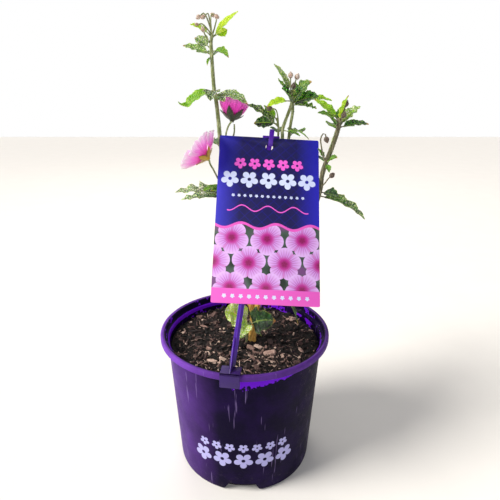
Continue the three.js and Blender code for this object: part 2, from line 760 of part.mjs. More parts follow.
// The clip straddles the rim: a deck on top, a plate outside, a short lip inside, a fin in front
function clipSolids() {
  const outer = rimRadius + clearance + clipWall;
  const deckBottom = potHeight + clearance;
  const turned = (geometry) => solidOf(geometry.rotateZ(radians(clipTurn)));
  const inner = outer - clipDepth;
  const lipOuter = rimInnerRadius - clearance - 0.5;
  const deck = boxAt(clipWidth, clipDepth, clipWall, 0, -(outer + inner) / 2, deckBottom + clipWall / 2);
  const plateMiddle = deckBottom + clipWall - clipHeight / 2;
  const plate = boxAt(clipWidth, clipWall, clipHeight, 0, clipWall / 2 - outer, plateMiddle);
  const lip = boxAt(clipWidth - 3, 1.2, 3.8, 0, 0.6 - lipOuter, deckBottom - 1.5);
  const fin = new THREE.Shape([
    new THREE.Vector2(-outer + 0.4, deckBottom + 0.6),
    new THREE.Vector2(-outer + 10, deckBottom + 0.6),
    new THREE.Vector2(-outer + 10 + 12.5, deckBottom + 18.5),
    new THREE.Vector2(-outer + 10 + 10.6, deckBottom + 18.5),
  ]);
  const finBody = new THREE.ExtrudeGeometry(fin, { depth: 1.1, bevelEnabled: false });
  finBody.applyMatrix4(new THREE.Matrix4().set(0, 0, 1, -0.45, 1, 0, 0, 0, 0, 1, 0, 0, 0, 0, 0, 1));
  return [turned(deck), turned(plate), turned(lip), turned(finBody)];
}

// Woody foot with three arms, each ending a little short of the leafy stem that it carries
const leftCurve = curveOf(leftRoute);
const centreCurve = curveOf(centreRoute);
const companionCurve = curveOf(companionRoute);
const sideCurve = curveOf(sideRoute);
const rightCurve = curveOf(rightRoute);
const lowCurve = curveOf(lowRoute);
const footCurve = curveOf([
  [6.2, -3, 100],
  [6.4, -2.4, 110],
  [7.2, 0, 122],
  [7.6, 2.6, 134],
]);
const armEnd = { left: 0.13, centre: 0.12, right: 0.15 };

function makeTrunk() {
  return joined([
    stemAlong(footCurve, 0, 1, 3.4, 2.9, 9, 6),
    stemAlong(leftCurve, 0, armEnd.left, 2.5, 2.3, 8, 4),
    stemAlong(centreCurve, 0, armEnd.centre, 2.3, 2, 8, 4),
    stemAlong(rightCurve, 0, armEnd.right, 2.4, 2.1, 8, 4),
  ]);
}

// Where a leafy stem starts on its curve, a clearance past the end of its arm
const startOf = (curve, end) => end + clearance / curve.getLength();

// Flowers: the frame of each one, and the stalk that carries it
const flowerLeft = {
  frame: flowerFrame([-28.6, 30, 254.8], [-0.75, 0.25, 0.61]),
  stalk: [
    [-14.2, 29.5, 227],
    [-18.5, 31, 234],
    [-22.2, 31, 240],
    [-25.6, 30.6, 247],
    [-27.8, 30, 251],
    [-28.8, 30, 255.4],
  ],
};
const flowerMiddle = {
  frame: flowerFrame([-10.6, 47.6, 283], [0.12, 0.42, 0.9]),
  stalk: [
    [-19, 44, 259],
    [-16.4, 45.6, 268],
    [-14.8, 46, 276],
    [-12.6, 47, 281],
    [-10.5, 47.7, 283.4],
  ],
};
const spentStalk = [
  [-19, 44, 259],
  [-12, 49, 266],
  [-8.8, 49.5, 274],
  [-8.6, 50, 281],
];

function makeStemLeft() {
  const start = startOf(leftCurve, armEnd.left);
  return joined([
    stemAlong(leftCurve, start, 1, 2.3, 1.35, 7, 16),
    stemAlong(curveOf(flowerLeft.stalk), 0, 1, 0.75, 0.7, 5, 8),
    stemAlong(curveOf(flowerMiddle.stalk), 0, 1, 0.75, 0.7, 5, 6),
    stemAlong(curveOf(spentStalk), 0, 1, 0.9, 0.6, 5, 5),
    ...calyxSolids(flowerLeft.frame, 2.8, 8.5, 5.4, [67, 64]),
    ...calyxSolids(flowerMiddle.frame, 3.4, 10.5, 6, [62, 51]),
    ...leafSolids(leftCurve, leftLeaves),
    ...budsFrom(leftBuds),
  ]);
}

function makeStemCentre() {
  const start = startOf(centreCurve, armEnd.centre);
  return joined([
    stemAlong(centreCurve, start, 1, 2, 1.25, 7, 15),
    stemAlong(companionCurve, 0, 1, 1.4, 1.2, 6, 8),
    stemAlong(sideCurve, 0, 1, 1.1, 0.8, 6, 7),
    ...leafSolids(centreCurve, centreLeaves),
    ...leafSolids(companionCurve, companionLeaves, 0.6),
    ...leafSolids(sideCurve, sideLeaves, 0.4),
    ...budsFrom(centreBuds),
    ...budsFrom(sideBuds),
  ]);
}

function makeStemRight() {
  const start = startOf(rightCurve, armEnd.right);
  return joined([
    stemAlong(rightCurve, start, 1, 2.1, 1.9, 7, 15),
    ...leafSolids(rightCurve, rightLeaves),
    ...budsFrom(rightBuds),
  ]);
}

function makeStemLow() {
  return joined([
    stemAlong(lowCurve, 0, 1, 1, 0.8, 6, 5),
    ...leafSolids(lowCurve, lowLeaves, 0.3),
  ]);
}

const holes = [
  { x: 6.3, y: -2.7, radius: 4.2, bottom: 99.6 },
  { x: 1.5, y: -5.7, radius: 1.6, bottom: 100.6 },
];

const petalsLeft = petalsSolid(flowerLeft.frame, 3.3, 20.5, 8.6, 1.1, 0.85);
const petalsMiddle = petalsSolid(flowerMiddle.frame, 3.9, 12.6, 11.5, 1.3, 0.6);
const plantInPot = new THREE.Group();
plantInPot.add(meshFrom(makePot(), "pot", colours.pot, 0.45));
plantInPot.add(meshFrom(makeMix(holes), "potting_mix", colours.soil, 0.95));
plantInPot.add(meshFrom(makeStake(), "label_stake", colours.stake, 0.4));
const card = meshFrom(makeCard(), "label_card", colours.card, 0.35);
card.applyMatrix4(cardPlace);
plantInPot.add(card);
plantInPot.add(meshFrom(makeTrunk(), "trunk", colours.wood, 0.8));
plantInPot.add(meshFrom(makeStemLeft(), "stem_left", colours.leaf));
plantInPot.add(meshFrom(makeStemCentre(), "stem_centre", colours.leaf));
plantInPot.add(meshFrom(makeStemRight(), "stem_right", colours.leaf));
plantInPot.add(meshFrom(makeStemLow(), "stem_low", colours.leaf));
plantInPot.add(meshFrom(petalsLeft, "petals_left", colours.petal));
plantInPot.add(meshFrom(columnSolid(flowerLeft.frame, 5.3, 8), "column_left", colours.column));
plantInPot.add(meshFrom(petalsMiddle, "petals_middle", colours.petal));
plantInPot.add(meshFrom(columnSolid(flowerMiddle.frame, 5.9, 6), "column_middle", colours.column));

export default plantInPot;
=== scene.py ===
import math
import random

import bmesh
import bpy
from mathutils import Matrix, Quaternion, Vector, noise


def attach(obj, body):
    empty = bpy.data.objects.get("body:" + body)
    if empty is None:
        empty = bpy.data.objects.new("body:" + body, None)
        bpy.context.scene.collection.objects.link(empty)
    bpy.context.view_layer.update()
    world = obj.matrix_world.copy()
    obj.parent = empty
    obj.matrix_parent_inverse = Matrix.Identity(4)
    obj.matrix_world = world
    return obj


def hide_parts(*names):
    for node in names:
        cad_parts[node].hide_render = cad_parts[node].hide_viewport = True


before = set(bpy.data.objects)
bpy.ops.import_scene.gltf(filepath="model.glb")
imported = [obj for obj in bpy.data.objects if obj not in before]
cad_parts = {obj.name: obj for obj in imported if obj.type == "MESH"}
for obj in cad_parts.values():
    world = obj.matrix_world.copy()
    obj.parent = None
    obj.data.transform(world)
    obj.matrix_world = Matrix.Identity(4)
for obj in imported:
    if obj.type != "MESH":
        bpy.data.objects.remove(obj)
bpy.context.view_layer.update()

# A young shrubby mallow in a nursery pot. Shapes are worked out in millimetres, in the frame of
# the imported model: Z up, the front towards -Y, the origin in the middle of the pot's flat foot.
mm = 0.001
up = Vector((0, 0, 1))


def lerp(a, b, t):
    return a + (b - a) * t


def clamp(value, low=0.0, high=1.0):
    return max(low, min(high, value))


def smoothStep(low, high, value):
    t = clamp((value - low) / (high - low))
    return t * t * (3 - 2 * t)


# Materials

def linearColour(code):
    parts = [int(code[i:i + 2], 16) / 255 for i in (1, 3, 5)]
    return tuple(c / 12.92 if c <= 0.04045 else ((c + 0.055) / 1.055) ** 2.4 for c in parts) + (1,)


# Adds one node: settings are its own values or the values of its inputs, links feed its inputs
def addNode(tree, kind, settings=None, links=None):
    made = tree.nodes.new("ShaderNode" + kind)
    for name, value in (settings or {}).items():
        if name == "stops":
            ramp = made.color_ramp
            while len(ramp.elements) < len(value):
                ramp.elements.new(0.5)
            for element, (place, colour) in zip(ramp.elements, value):
                element.position = place
                element.color = linearColour(colour)
        elif isinstance(name, str) and hasattr(made, name):
            setattr(made, name, value)
        else:
            made.inputs[name].default_value = value
    for name, socket in (links or {}).items():
        tree.links.new(socket, made.inputs[name])
    return made


def newMaterial(name, settings):
    material = bpy.data.materials.new(name)
    material.use_nodes = True
    tree = material.node_tree
    surface = tree.nodes["Principled BSDF"]
    for key, value in settings.items():
        surface.inputs[key].default_value = value
    return material, tree, surface


def objectPoint(tree):
    return addNode(tree, "TexCoord").outputs["Object"]


def noiseAt(tree, point, size, detail=4, roughness=0.6, kind="TexNoise"):
    settings = {"Scale": 1 / (size * mm), "Detail": detail, "Roughness": roughness}
    return addNode(tree, kind, settings, {"Vector": point}).outputs[0]


def rampOf(tree, value, stops, smooth=False):
    made = addNode(tree, "ValToRGB", {"stops": stops}, {"Fac": value})
    if smooth:
        made.color_ramp.interpolation = "EASE"
    return made.outputs["Color"]


def mixOf(tree, share, a, b, blend="MIX"):
    made = addNode(tree, "Mix", {"data_type": "RGBA", "blend_type": blend})
    for place, value in ((0, share), (6, a), (7, b)):
        if isinstance(value, str):
            made.inputs[place].default_value = linearColour(value)
        elif isinstance(value, (int, float)):
            made.inputs[place].default_value = value
        else:
            tree.links.new(value, made.inputs[place])
    return made.outputs[2]


def mathOf(tree, operation, *values):
    made = addNode(tree, "Math", {"operation": operation})
    for place, value in enumerate(values):
        if isinstance(value, (int, float)):
            made.inputs[place].default_value = value
        else:
            tree.links.new(value, made.inputs[place])
    return made.outputs[0]


def bumpOf(tree, surface, height, depth, strength=1.0):
    made = addNode(tree, "Bump", {"Distance": depth * mm, "Strength": strength}, {"Height": height})
    tree.links.new(made.outputs["Normal"], surface.inputs["Normal"])


potLook = {
    "body": "#090220",
    "worn": "#180636",
    # rim: the paler violet of the painted light on the rim and the left side
    "rim": "#7c48bc",
    "scratch": "#8f7ab4",
    "dust": "#a3968f",
    # the bright violet of the painted light below and inside the rim
    "paintedLitPatch": "#6412c4",
    "print": "#a9a6d8",
}


# Injection-moulded polypropylene: a satin skin, unevenly paler in places, with handling scratches and dust; the rim and
# the left side carry painted light
def pottedPolypropylene():
    settings = {"IOR": 1.49, "Specular IOR Level": 0.06}
    material, tree, surface = newMaterial("moulded violet polypropylene", settings)
    point = objectPoint(tree)
    parts = addNode(tree, "SeparateXYZ", {}, {"Vector": point}).outputs
    cloud = noiseAt(tree, point, 22, 5)
    body = mixOf(tree, rampOf(tree, cloud, [(0.42, "#000000"), (0.72, "#ffffff")]), potLook["body"], potLook["worn"])
    # Painted light: the flanged rim and the lit left side are painted paler
    rimShare = addNode(tree, "MapRange", {"From Min": 0.1142, "From Max": 0.1152, "To Max": 0.46}, {"Value": parts[2]})
    paintedLitSide = addNode(tree, "MapRange", {"From Min": -0.02, "From Max": -0.066, "To Max": 0.55}, {"Value": parts[0]})
    square = mathOf(tree, "ADD", mathOf(tree, "MULTIPLY", parts[0], parts[0]), mathOf(tree, "MULTIPLY", parts[1], parts[1]))
    radius = mathOf(tree, "SQRT", square)
    # The middle of the sloping wall tells its outside from its lining
    wallMiddle = mathOf(tree, "MULTIPLY_ADD", parts[2], 0.0577, 0.057)
    outer = mathOf(tree, "GREATER_THAN", radius, wallMiddle)
    outer = mathOf(tree, "MULTIPLY", outer, mathOf(tree, "LESS_THAN", parts[2], 0.1142))
    flange = mathOf(tree, "GREATER_THAN", radius, 0.0671)
    outer = mathOf(tree, "MAXIMUM", outer, flange)
    # Painted light on the rim and the left side, mixed towards the paler rim violet
    pale = mathOf(tree, "MULTIPLY", rimShare.outputs[0], flange)
    pale = mathOf(tree, "ADD", pale, mathOf(tree, "MULTIPLY", paintedLitSide.outputs[0], outer))
    body = mixOf(tree, mathOf(tree, "MULTIPLY", pale, mathOf(tree, "ADD", cloud, 0.3)), body, potLook["rim"])
    # Scratches: long thin streaks at a few slants, drawn about 0.8 mm wide so that they show
    for turn, size, seed in ((0.5, 60, 1.0), (-0.35, 75, 7.0), (1.2, 90, 13.0)):
        turned = addNode(tree, "Mapping", {"Rotation": (turn * 0.3, turn, seed), "Scale": (1, 1, 0.05)}, {"Vector": point})
        streak = noiseAt(tree, turned.outputs[0], 3.2, 2, 0.5)
        thin = rampOf(tree, streak, [(0.705, "#000000"), (0.735, "#ffffff")])
        body = mixOf(tree, mathOf(tree, "MULTIPLY", thin, 0.3), body, potLook["scratch"])
    # Dust splashes, mostly on the right and near the foot
    side = mathOf(tree, "MULTIPLY_ADD", parts[0], 30.0, -1.15)
    low = mathOf(tree, "MULTIPLY_ADD", parts[2], -14.0, 0.3)
    where = mathOf(tree, "MAXIMUM", mathOf(tree, "MAXIMUM", side, low), 0.0)
    splash = rampOf(tree, noiseAt(tree, point, 3.4, 9, 0.78), [(0.56, "#000000"), (0.72, "#ffffff")])
    share = mathOf(tree, "MULTIPLY", splash, mathOf(tree, "MINIMUM", where, 0.42))
    body = mixOf(tree, share, body, potLook["dust"])
    # Painted light: bright violet patches below and inside the rim
    body = mixOf(tree, paintedRimLight(tree, point, parts), body, potLook["paintedLitPatch"])
    body = mixOf(tree, potOrnament(tree, parts), body, potLook["print"])
    tree.links.new(body, surface.inputs["Base Color"])
    rough = addNode(tree, "MapRange", {"To Min": 0.34, "To Max": 0.62}, {"Value": noiseAt(tree, point, 9, 6, 0.7)})
    tree.links.new(rough.outputs[0], surface.inputs["Roughness"])
    bumpOf(tree, surface, noiseAt(tree, point, 1.6, 6, 0.65), 0.12)
    return material


# Painted light: bright violet patches below and inside the rim, as if lit
def paintedRimLight(tree, point, parts):
    below = mathOf(tree, "MULTIPLY", mathOf(tree, "SUBTRACT", 0.1112, parts[2]), 1000)
    angle = mathOf(tree, "ARCTAN2", parts[0], mathOf(tree, "MULTIPLY", parts[1], -1.0))
    # The painted bright band under the rim starts beside the clip and thins out to the right
    reach = mathOf(tree, "MULTIPLY", mathOf(tree, "SUBTRACT", 0.86, angle), mathOf(tree, "GREATER_THAN", angle, -0.16))
    ragged = mathOf(tree, "MULTIPLY_ADD", noiseAt(tree, point, 6, 5, 0.7), 26.0, -7.0)
    outside = mathOf(tree, "LESS_THAN", below, mathOf(tree, "MULTIPLY", reach, ragged))
    outside = mathOf(tree, "MULTIPLY", outside, mathOf(tree, "GREATER_THAN", below, -3.4))
    spread = mathOf(tree, "MULTIPLY_ADD", parts[1], 0.8, noiseAt(tree, point, 15, 3, 0.7))
    patches = mathOf(tree, "GREATER_THAN", spread, 0.595)
    square = mathOf(tree, "ADD", mathOf(tree, "MULTIPLY", parts[0], parts[0]), mathOf(tree, "MULTIPLY", parts[1], parts[1]))
    rim = mathOf(tree, "MULTIPLY", mathOf(tree, "LESS_THAN", square, 0.0665 ** 2), mathOf(tree, "GREATER_THAN", parts[2], 0.1153))
    lining = mathOf(tree, "MAXIMUM", rim, mathOf(tree, "LESS_THAN", square, 0.0629 ** 2))
    inside = mathOf(tree, "MULTIPLY", patches, lining)
    both = mathOf(tree, "MAXIMUM", outside, inside)
    return mathOf(tree, "MULTIPLY", both, mathOf(tree, "GREATER_THAN", parts[2], 0.1))


# A plain printed ornament on the front of the pot: two rows of simple blossoms
def potOrnament(tree, parts):
    angle = mathOf(tree, "ARCTAN2", parts[0], mathOf(tree, "MULTIPLY", parts[1], -1.0))
    around = mathOf(tree, "MULTIPLY", angle, 59.5)
    height = mathOf(tree, "MULTIPLY", parts[2], 1000.0)
    across = mathOf(tree, "ADD", around, 1.0)
    upper = blossomRow(tree, across, mathOf(tree, "SUBTRACT", height, 47), 10.6, 3.5, 4.2)
    lower = blossomRow(tree, across, mathOf(tree, "SUBTRACT", height, 34), 17, 2.5, 7.8)
    front = mathOf(tree, "LESS_THAN", parts[1], -0.01)
    both = mathOf(tree, "MAXIMUM", upper["mask"], lower["mask"])
    return mathOf(tree, "MULTIPLY", mathOf(tree, "MULTIPLY", both, front), 0.92)


# A row of five-petalled blossoms: x and y in millimetres from its middle, reach in pitches
def blossomRow(tree, x, y, pitch, reach, radius, turn=1.5708, eye=0.2, notch=0.6):
    column = mathOf(tree, "ROUND", mathOf(tree, "DIVIDE", x, pitch))
    near = mathOf(tree, "LESS_THAN", mathOf(tree, "ABSOLUTE", column), reach)
    dx = mathOf(tree, "SUBTRACT", x, mathOf(tree, "MULTIPLY", column, pitch))
    distance = mathOf(tree, "SQRT", mathOf(tree, "ADD", mathOf(tree, "MULTIPLY", dx, dx), mathOf(tree, "MULTIPLY", y, y)))
    angle = mathOf(tree, "ADD", mathOf(tree, "ARCTAN2", y, dx), turn)
    lobes = mathOf(tree, "ABSOLUTE", mathOf(tree, "COSINE", mathOf(tree, "MULTIPLY", angle, 2.5)))
    edge = mathOf(tree, "MULTIPLY_ADD", mathOf(tree, "POWER", lobes, 0.55), radius * notch, radius * (1 - notch))
    inside = mathOf(tree, "LESS_THAN", distance, edge)
    outsideEye = mathOf(tree, "GREATER_THAN", distance, radius * eye)
    mask = mathOf(tree, "MULTIPLY", mathOf(tree, "MULTIPLY", inside, outsideEye), near)
    share = mathOf(tree, "DIVIDE", distance, radius)
    return {"mask": mask, "share": share, "lobes": lobes, "angle": angle, "near": near}


stakeLook = {"body": "#380e7c", "pale": "#521ca4", "clipTone": "#241044"}


# Moulded polypropylene in a brighter purple, thin enough to glow a little at its edges
def stakePolypropylene():
    settings = {"IOR": 1.49, "Specular IOR Level": 0.35, "Subsurface Weight": 0.12, "Subsurface Scale": 0.001}
    material, tree, surface = newMaterial("moulded purple polypropylene", settings)
    surface.inputs["Subsurface Radius"].default_value = (0.5, 0.15, 1.0)
    point = objectPoint(tree)
    cloud = noiseAt(tree, point, 6, 5)
    body = mixOf(tree, cloud, stakeLook["body"], stakeLook["pale"])
    # The clip at the rim is painted darker and duller in colour
    height = addNode(tree, "SeparateXYZ", {}, {"Vector": point}).outputs[2]
    low = addNode(tree, "MapRange", {"From Min": 0.129, "From Max": 0.123}, {"Value": height}).outputs[0]
    body = mixOf(tree, mathOf(tree, "MULTIPLY", low, 0.8), body, stakeLook["clipTone"])
    tree.links.new(body, surface.inputs["Base Color"])
    rough = addNode(tree, "MapRange", {"To Min": 0.26, "To Max": 0.5}, {"Value": noiseAt(tree, point, 3, 5)})
    tree.links.new(rough.outputs[0], surface.inputs["Roughness"])
    bumpOf(tree, surface, noiseAt(tree, point, 0.8, 5), 0.05)
    return material


cardLook = {
    "indigo": "#15124c",
    "violet": "#211cae",
    "white": "#c3cdee",
    "pink": "#dd58c4",
    "ground": ("#17241c", "#3f5048", "#6a3f74"),
    "petal": ("#7c0c50", "#b82f98", "#c184d4", "#cfa8e2"),
    "stripe": "#d552b6",
}


# Rows of blossoms in the dark part: height on the card, pitch, reach in pitches, radius, ink
printRows = ((45, 11.5, 2.5, 5, "pink"), (31, 15.4, 2.5, 7.2, "white"), (17, 4.6, 6.5, 1.3, "white"))


# Printed plastic sheet: flat inks under a thin satin coat. The print is a plain floral pattern
def printedSheet():
    settings = {"IOR": 1.46, "Coat Weight": 0.3, "Coat Roughness": 0.25, "Roughness": 0.42}
    material, tree, surface = newMaterial("printed satin polymer sheet", settings)
    sheet = addNode(tree, "Attribute", {"attribute_name": "sheet"}).outputs["Vector"]
    parts = addNode(tree, "SeparateXYZ", {}, {"Vector": sheet}).outputs
    x, y = parts[0], parts[1]
    side = addNode(tree, "MapRange", {"From Min": 22, "From Max": 40}, {"Value": mathOf(tree, "ABSOLUTE", x)}).outputs[0]
    ink = mixOf(tree, side, cardLook["indigo"], cardLook["violet"])
    lattice = mathOf(tree, "MAXIMUM", latticeLine(tree, x, y, 1), latticeLine(tree, x, y, -1))
    ink = mixOf(tree, mathOf(tree, "MULTIPLY", lattice, 0.3), ink, cardLook["violet"])
    for height, pitch, reach, radius, colour in printRows:
        row = blossomRow(tree, x, mathOf(tree, "SUBTRACT", y, height), pitch, reach, radius)
        ink = mixOf(tree, row["mask"], ink, cardLook[colour])
    garland = mathOf(tree, "MULTIPLY_ADD", mathOf(tree, "COSINE", mathOf(tree, "MULTIPLY", x, 0.31)), 2.4, 6.5)
    offset = mathOf(tree, "ABSOLUTE", mathOf(tree, "SUBTRACT", y, garland))
    vine = mathOf(tree, "MULTIPLY", mathOf(tree, "LESS_THAN", offset, 0.5), mathOf(tree, "LESS_THAN", mathOf(tree, "ABSOLUTE", x), 32))
    ink = mixOf(tree, vine, ink, cardLook["pink"])
    edge = mathOf(tree, "MULTIPLY_ADD", mathOf(tree, "SINE", mathOf(tree, "MULTIPLY", x, 0.232)), 2.2, -8.0)
    ink = mixOf(tree, mathOf(tree, "LESS_THAN", y, edge), ink, flowerField(tree, sheet, x, y))
    stripe = mathOf(tree, "LESS_THAN", mathOf(tree, "ABSOLUTE", mathOf(tree, "SUBTRACT", y, edge)), 1.1)
    foot = mathOf(tree, "LESS_THAN", y, -57.5)
    ink = mixOf(tree, mathOf(tree, "MAXIMUM", stripe, foot), ink, cardLook["stripe"])
    dots = blossomRow(tree, x, mathOf(tree, "ADD", y, 63.2), 6.2, 5.5, 1.7, 1.5708, 0.0)
    ink = mixOf(tree, dots["mask"], ink, cardLook["white"])
    tree.links.new(ink, surface.inputs["Base Color"])
    bumpOf(tree, surface, noiseAt(tree, objectPoint(tree), 14, 2), 0.25)
    return material


# Thin slanting lines of a diamond lattice with a 9 mm pitch
def latticeLine(tree, x, y, way):
    slant = mathOf(tree, "MULTIPLY_ADD", x, way, y)
    return mathOf(tree, "LESS_THAN", mathOf(tree, "PINGPONG", slant, 4.5), 0.28)


# The lower half of the print: staggered pale blossoms with veined petals over a soft green ground
def flowerField(tree, sheet, x, y):
    soft = addNode(tree, "TexNoise", {"Scale": 0.06, "Detail": 1.5}, {"Vector": sheet}).outputs[0]
    ground = cardLook["ground"]
    picture = rampOf(tree, soft, [(0.36, ground[0]), (0.5, ground[1]), (0.64, ground[2])], True)
    stops = [(place, colour) for place, colour in zip((0.12, 0.3, 0.5, 0.95), cardLook["petal"])]
    for height, shift in ((-18, 0), (-37.5, 13.6), (-57, 0)):
        moved = mathOf(tree, "ADD", x, shift)
        row = blossomRow(tree, moved, mathOf(tree, "SUBTRACT", y, height), 27.2, 9, 13.2, 1.5708 + shift * 0.05, 0.0, 0.24)
        petal = rampOf(tree, row["share"], stops)
        rays = mathOf(tree, "POWER", mathOf(tree, "ABSOLUTE", mathOf(tree, "SINE", mathOf(tree, "MULTIPLY", row["angle"], 15))), 5.0)
        fade = mathOf(tree, "SUBTRACT", 1.0, row["share"])
        veins = mathOf(tree, "MULTIPLY", rays, mathOf(tree, "MAXIMUM", fade, 0.0))
        petal = mixOf(tree, veins, petal, cardLook["petal"][0])
        gap = mathOf(tree, "LESS_THAN", row["lobes"], 0.12)
        petal = mixOf(tree, mathOf(tree, "MULTIPLY", gap, 0.55), petal, cardLook["petal"][1])
        picture = mixOf(tree, row["mask"], picture, petal)
    return picture


leafLook = {
    "tones": [(0.0, "#07160f"), (0.28, "#1d3d1e"), (0.6, "#5f8f14"), (1.0, "#aed622")],
    "under": "#9aa97a",
    "down": "#d9e0c2",
    "scorch": "#a8683a",
    "vein": "#8fae4a",
    "edge": "#a9c24a",
}


# Living leaf tissue: waxy green between paler sunken veins, under short pale down
def downyLeaf():
    settings = {"IOR": 1.42, "Sheen Weight": 0.12, "Sheen Roughness": 0.4, "Subsurface Weight": 0.4}
    settings["Subsurface Scale"] = 0.0018
    material, tree, surface = newMaterial("downy mallow leaf", settings)
    surface.inputs["Subsurface Radius"].default_value = (0.6, 1.0, 0.2)
    surface.inputs["Sheen Tint"].default_value = linearColour(leafLook["down"])
    point = objectPoint(tree)
    tint = addNode(tree, "SeparateXYZ", {}, {"Vector": addNode(tree, "Attribute", {"attribute_name": "tint"}).outputs["Vector"]}).outputs
    blade = addNode(tree, "SeparateXYZ", {}, {"Vector": addNode(tree, "Attribute", {"attribute_name": "blade"}).outputs["Vector"]}).outputs
    mottle = mathOf(tree, "MULTIPLY_ADD", noiseAt(tree, point, 5, 4), 0.7, -0.35)
    # The tone is partly painted light and shade: nearly black for leaves in shade, lime for leaves lit from behind
    tone = mathOf(tree, "ADD", tint[0], mottle)
    green = rampOf(tree, tone, leafLook["tones"])
    # Crinkled tissue bulges in cells about 2 mm wide; the down on them shows silvery
    warp = addNode(tree, "TexNoise", {"Scale": 260, "Detail": 2}, {"Vector": point}).outputs["Color"]
    warped = addNode(tree, "VectorMath", {"operation": "MULTIPLY_ADD"}, {0: warp, 2: point})
    warped.inputs[1].default_value = (0.0016, 0.0016, 0.0016)
    cells = addNode(tree, "TexVoronoi", {"feature": "DISTANCE_TO_EDGE", "Scale": 520}, {"Vector": warped.outputs[0]}).outputs[0]
    bulge = rampOf(tree, cells, [(0.03, "#000000"), (0.2, "#ffffff")])
    fleck = mathOf(tree, "MULTIPLY_ADD", tint[1], 0.17, noiseAt(tree, point, 1.6, 3, 0.7))
    fleck = rampOf(tree, fleck, [(0.46, "#000000"), (0.6, "#ffffff")])
    cell = mathOf(tree, "MULTIPLY", bulge, mathOf(tree, "SUBTRACT", 1.0, blade[2]))
    share = mathOf(tree, "MULTIPLY", mathOf(tree, "MULTIPLY", fleck, cell), mathOf(tree, "MULTIPLY", tint[1], 0.86))
    green = mixOf(tree, share, green, leafLook["down"])
    rib = rampOf(tree, blade[2], [(0.55, "#000000"), (0.95, "#ffffff")])
    green = mixOf(tree, mathOf(tree, "MULTIPLY", rib, 0.5), green, leafLook["vein"])
    rimShare = mathOf(tree, "GREATER_THAN", mathOf(tree, "ABSOLUTE", blade[0]), 0.94)
    rimShare = mathOf(tree, "MULTIPLY", rimShare, mathOf(tree, "MULTIPLY_ADD", tint[0], 0.5, 0.08))
    green = mixOf(tree, rimShare, green, leafLook["edge"])
    # The tips of some leaves have dried to a warm brown
    tip = addNode(tree, "MapRange", {"From Min": 0.88, "From Max": 0.97, "To Max": 0.8}, {"Value": blade[1]}).outputs[0]
    tip = mathOf(tree, "MULTIPLY", tip, mathOf(tree, "GREATER_THAN", tint[2], 0.55))
    green = mixOf(tree, tip, green, leafLook["scorch"])
    tree.links.new(green, surface.inputs["Base Color"])
    rough = addNode(tree, "MapRange", {"To Min": 0.34, "To Max": 0.62}, {"Value": fleck})
    tree.links.new(rough.outputs[0], surface.inputs["Roughness"])
    grain = mathOf(tree, "ADD", mathOf(tree, "MULTIPLY", bulge, 0.8), mathOf(tree, "MULTIPLY", blade[2], -0.6))
    bumpOf(tree, surface, mathOf(tree, "MULTIPLY_ADD", noiseAt(tree, point, 1.2, 3), 0.4, grain), 0.3, 0.8)
    return material


# Soft green shoot: pale and streaked along its length, with short down
def downyShoot(name, young, old, streak):
    settings = {"IOR": 1.42, "Roughness": 0.6, "Sheen Weight": 0.3, "Subsurface Weight": 0.1}
    settings["Subsurface Scale"] = 0.001
    material, tree, surface = newMaterial(name, settings)
    point = objectPoint(tree)
    stretched = addNode(tree, "Mapping", {"Scale": (1, 1, 0.16)}, {"Vector": point}).outputs[0]
    fine = noiseAt(tree, stretched, 1.1, 4, 0.65)
    body = mixOf(tree, noiseAt(tree, point, 12, 3), young, old)
    body = mixOf(tree, rampOf(tree, fine, [(0.5, "#000000"), (0.68, "#ffffff")]), body, streak)
    tree.links.new(body, surface.inputs["Base Color"])
    bumpOf(tree, surface, fine, 0.22)
    return material


# Young bark: ochre skin with grey-brown flecks and long shallow cracks
def youngBark():
    material, tree, surface = newMaterial("young ochre bark", {"IOR": 1.45, "Roughness": 0.78})
    point = objectPoint(tree)
    stretched = addNode(tree, "Mapping", {"Scale": (1, 1, 0.22)}, {"Vector": point}).outputs[0]
    fine = noiseAt(tree, stretched, 1.2, 6, 0.7)
    body = rampOf(tree, fine, [(0.3, "#6a4318"), (0.48, "#c08c38"), (0.66, "#e0bc6c")])
    cloud = rampOf(tree, noiseAt(tree, point, 9, 3), [(0.4, "#000000"), (0.7, "#ffffff")])
    body = mixOf(tree, mathOf(tree, "MULTIPLY", cloud, 0.3), body, "#7d7a38")
    tree.links.new(body, surface.inputs["Base Color"])
    bumpOf(tree, surface, fine, 0.5)
    return material


# Petal tissue: thin and silky, deep in the throat and paler to the rim, with fine rays
def silkyPetal(name, look):
    settings = {"IOR": 1.4, "Roughness": 0.5, "Sheen Weight": 0.2, "Subsurface Weight": 0.3}
    settings["Subsurface Scale"] = 0.002
    material, tree, surface = newMaterial(name, settings)
    surface.inputs["Subsurface Radius"].default_value = (1.0, 0.4, 0.8)
    blade = addNode(tree, "Attribute", {"attribute_name": "blade"}).outputs["Vector"]
    parts = addNode(tree, "SeparateXYZ", {}, {"Vector": blade}).outputs
    soft = addNode(tree, "TexNoise", {"Scale": 3.2, "Detail": 3}, {"Vector": blade}).outputs[0]
    along = mathOf(tree, "ADD", parts[1], mathOf(tree, "MULTIPLY_ADD", soft, 0.36, -0.18))
    body = rampOf(tree, along, look["stops"])
    fan = addNode(tree, "Mapping", {"Scale": (13, 0.5, 1)}, {"Vector": blade}).outputs[0]
    rays = rampOf(tree, addNode(tree, "TexNoise", {"Scale": 1.0, "Detail": 3}, {"Vector": fan}).outputs[0],
                  [(0.5, "#000000"), (0.6, "#ffffff")])
    fade = mathOf(tree, "MAXIMUM", mathOf(tree, "SUBTRACT", 1.05, parts[1]), 0.15)
    body = mixOf(tree, mathOf(tree, "MULTIPLY", mathOf(tree, "MULTIPLY", rays, fade), look["rayShare"]), body, look["ray"])
    tree.links.new(body, surface.inputs["Base Color"])
    bumpOf(tree, surface, rays, 0.25, 0.7)
    return material


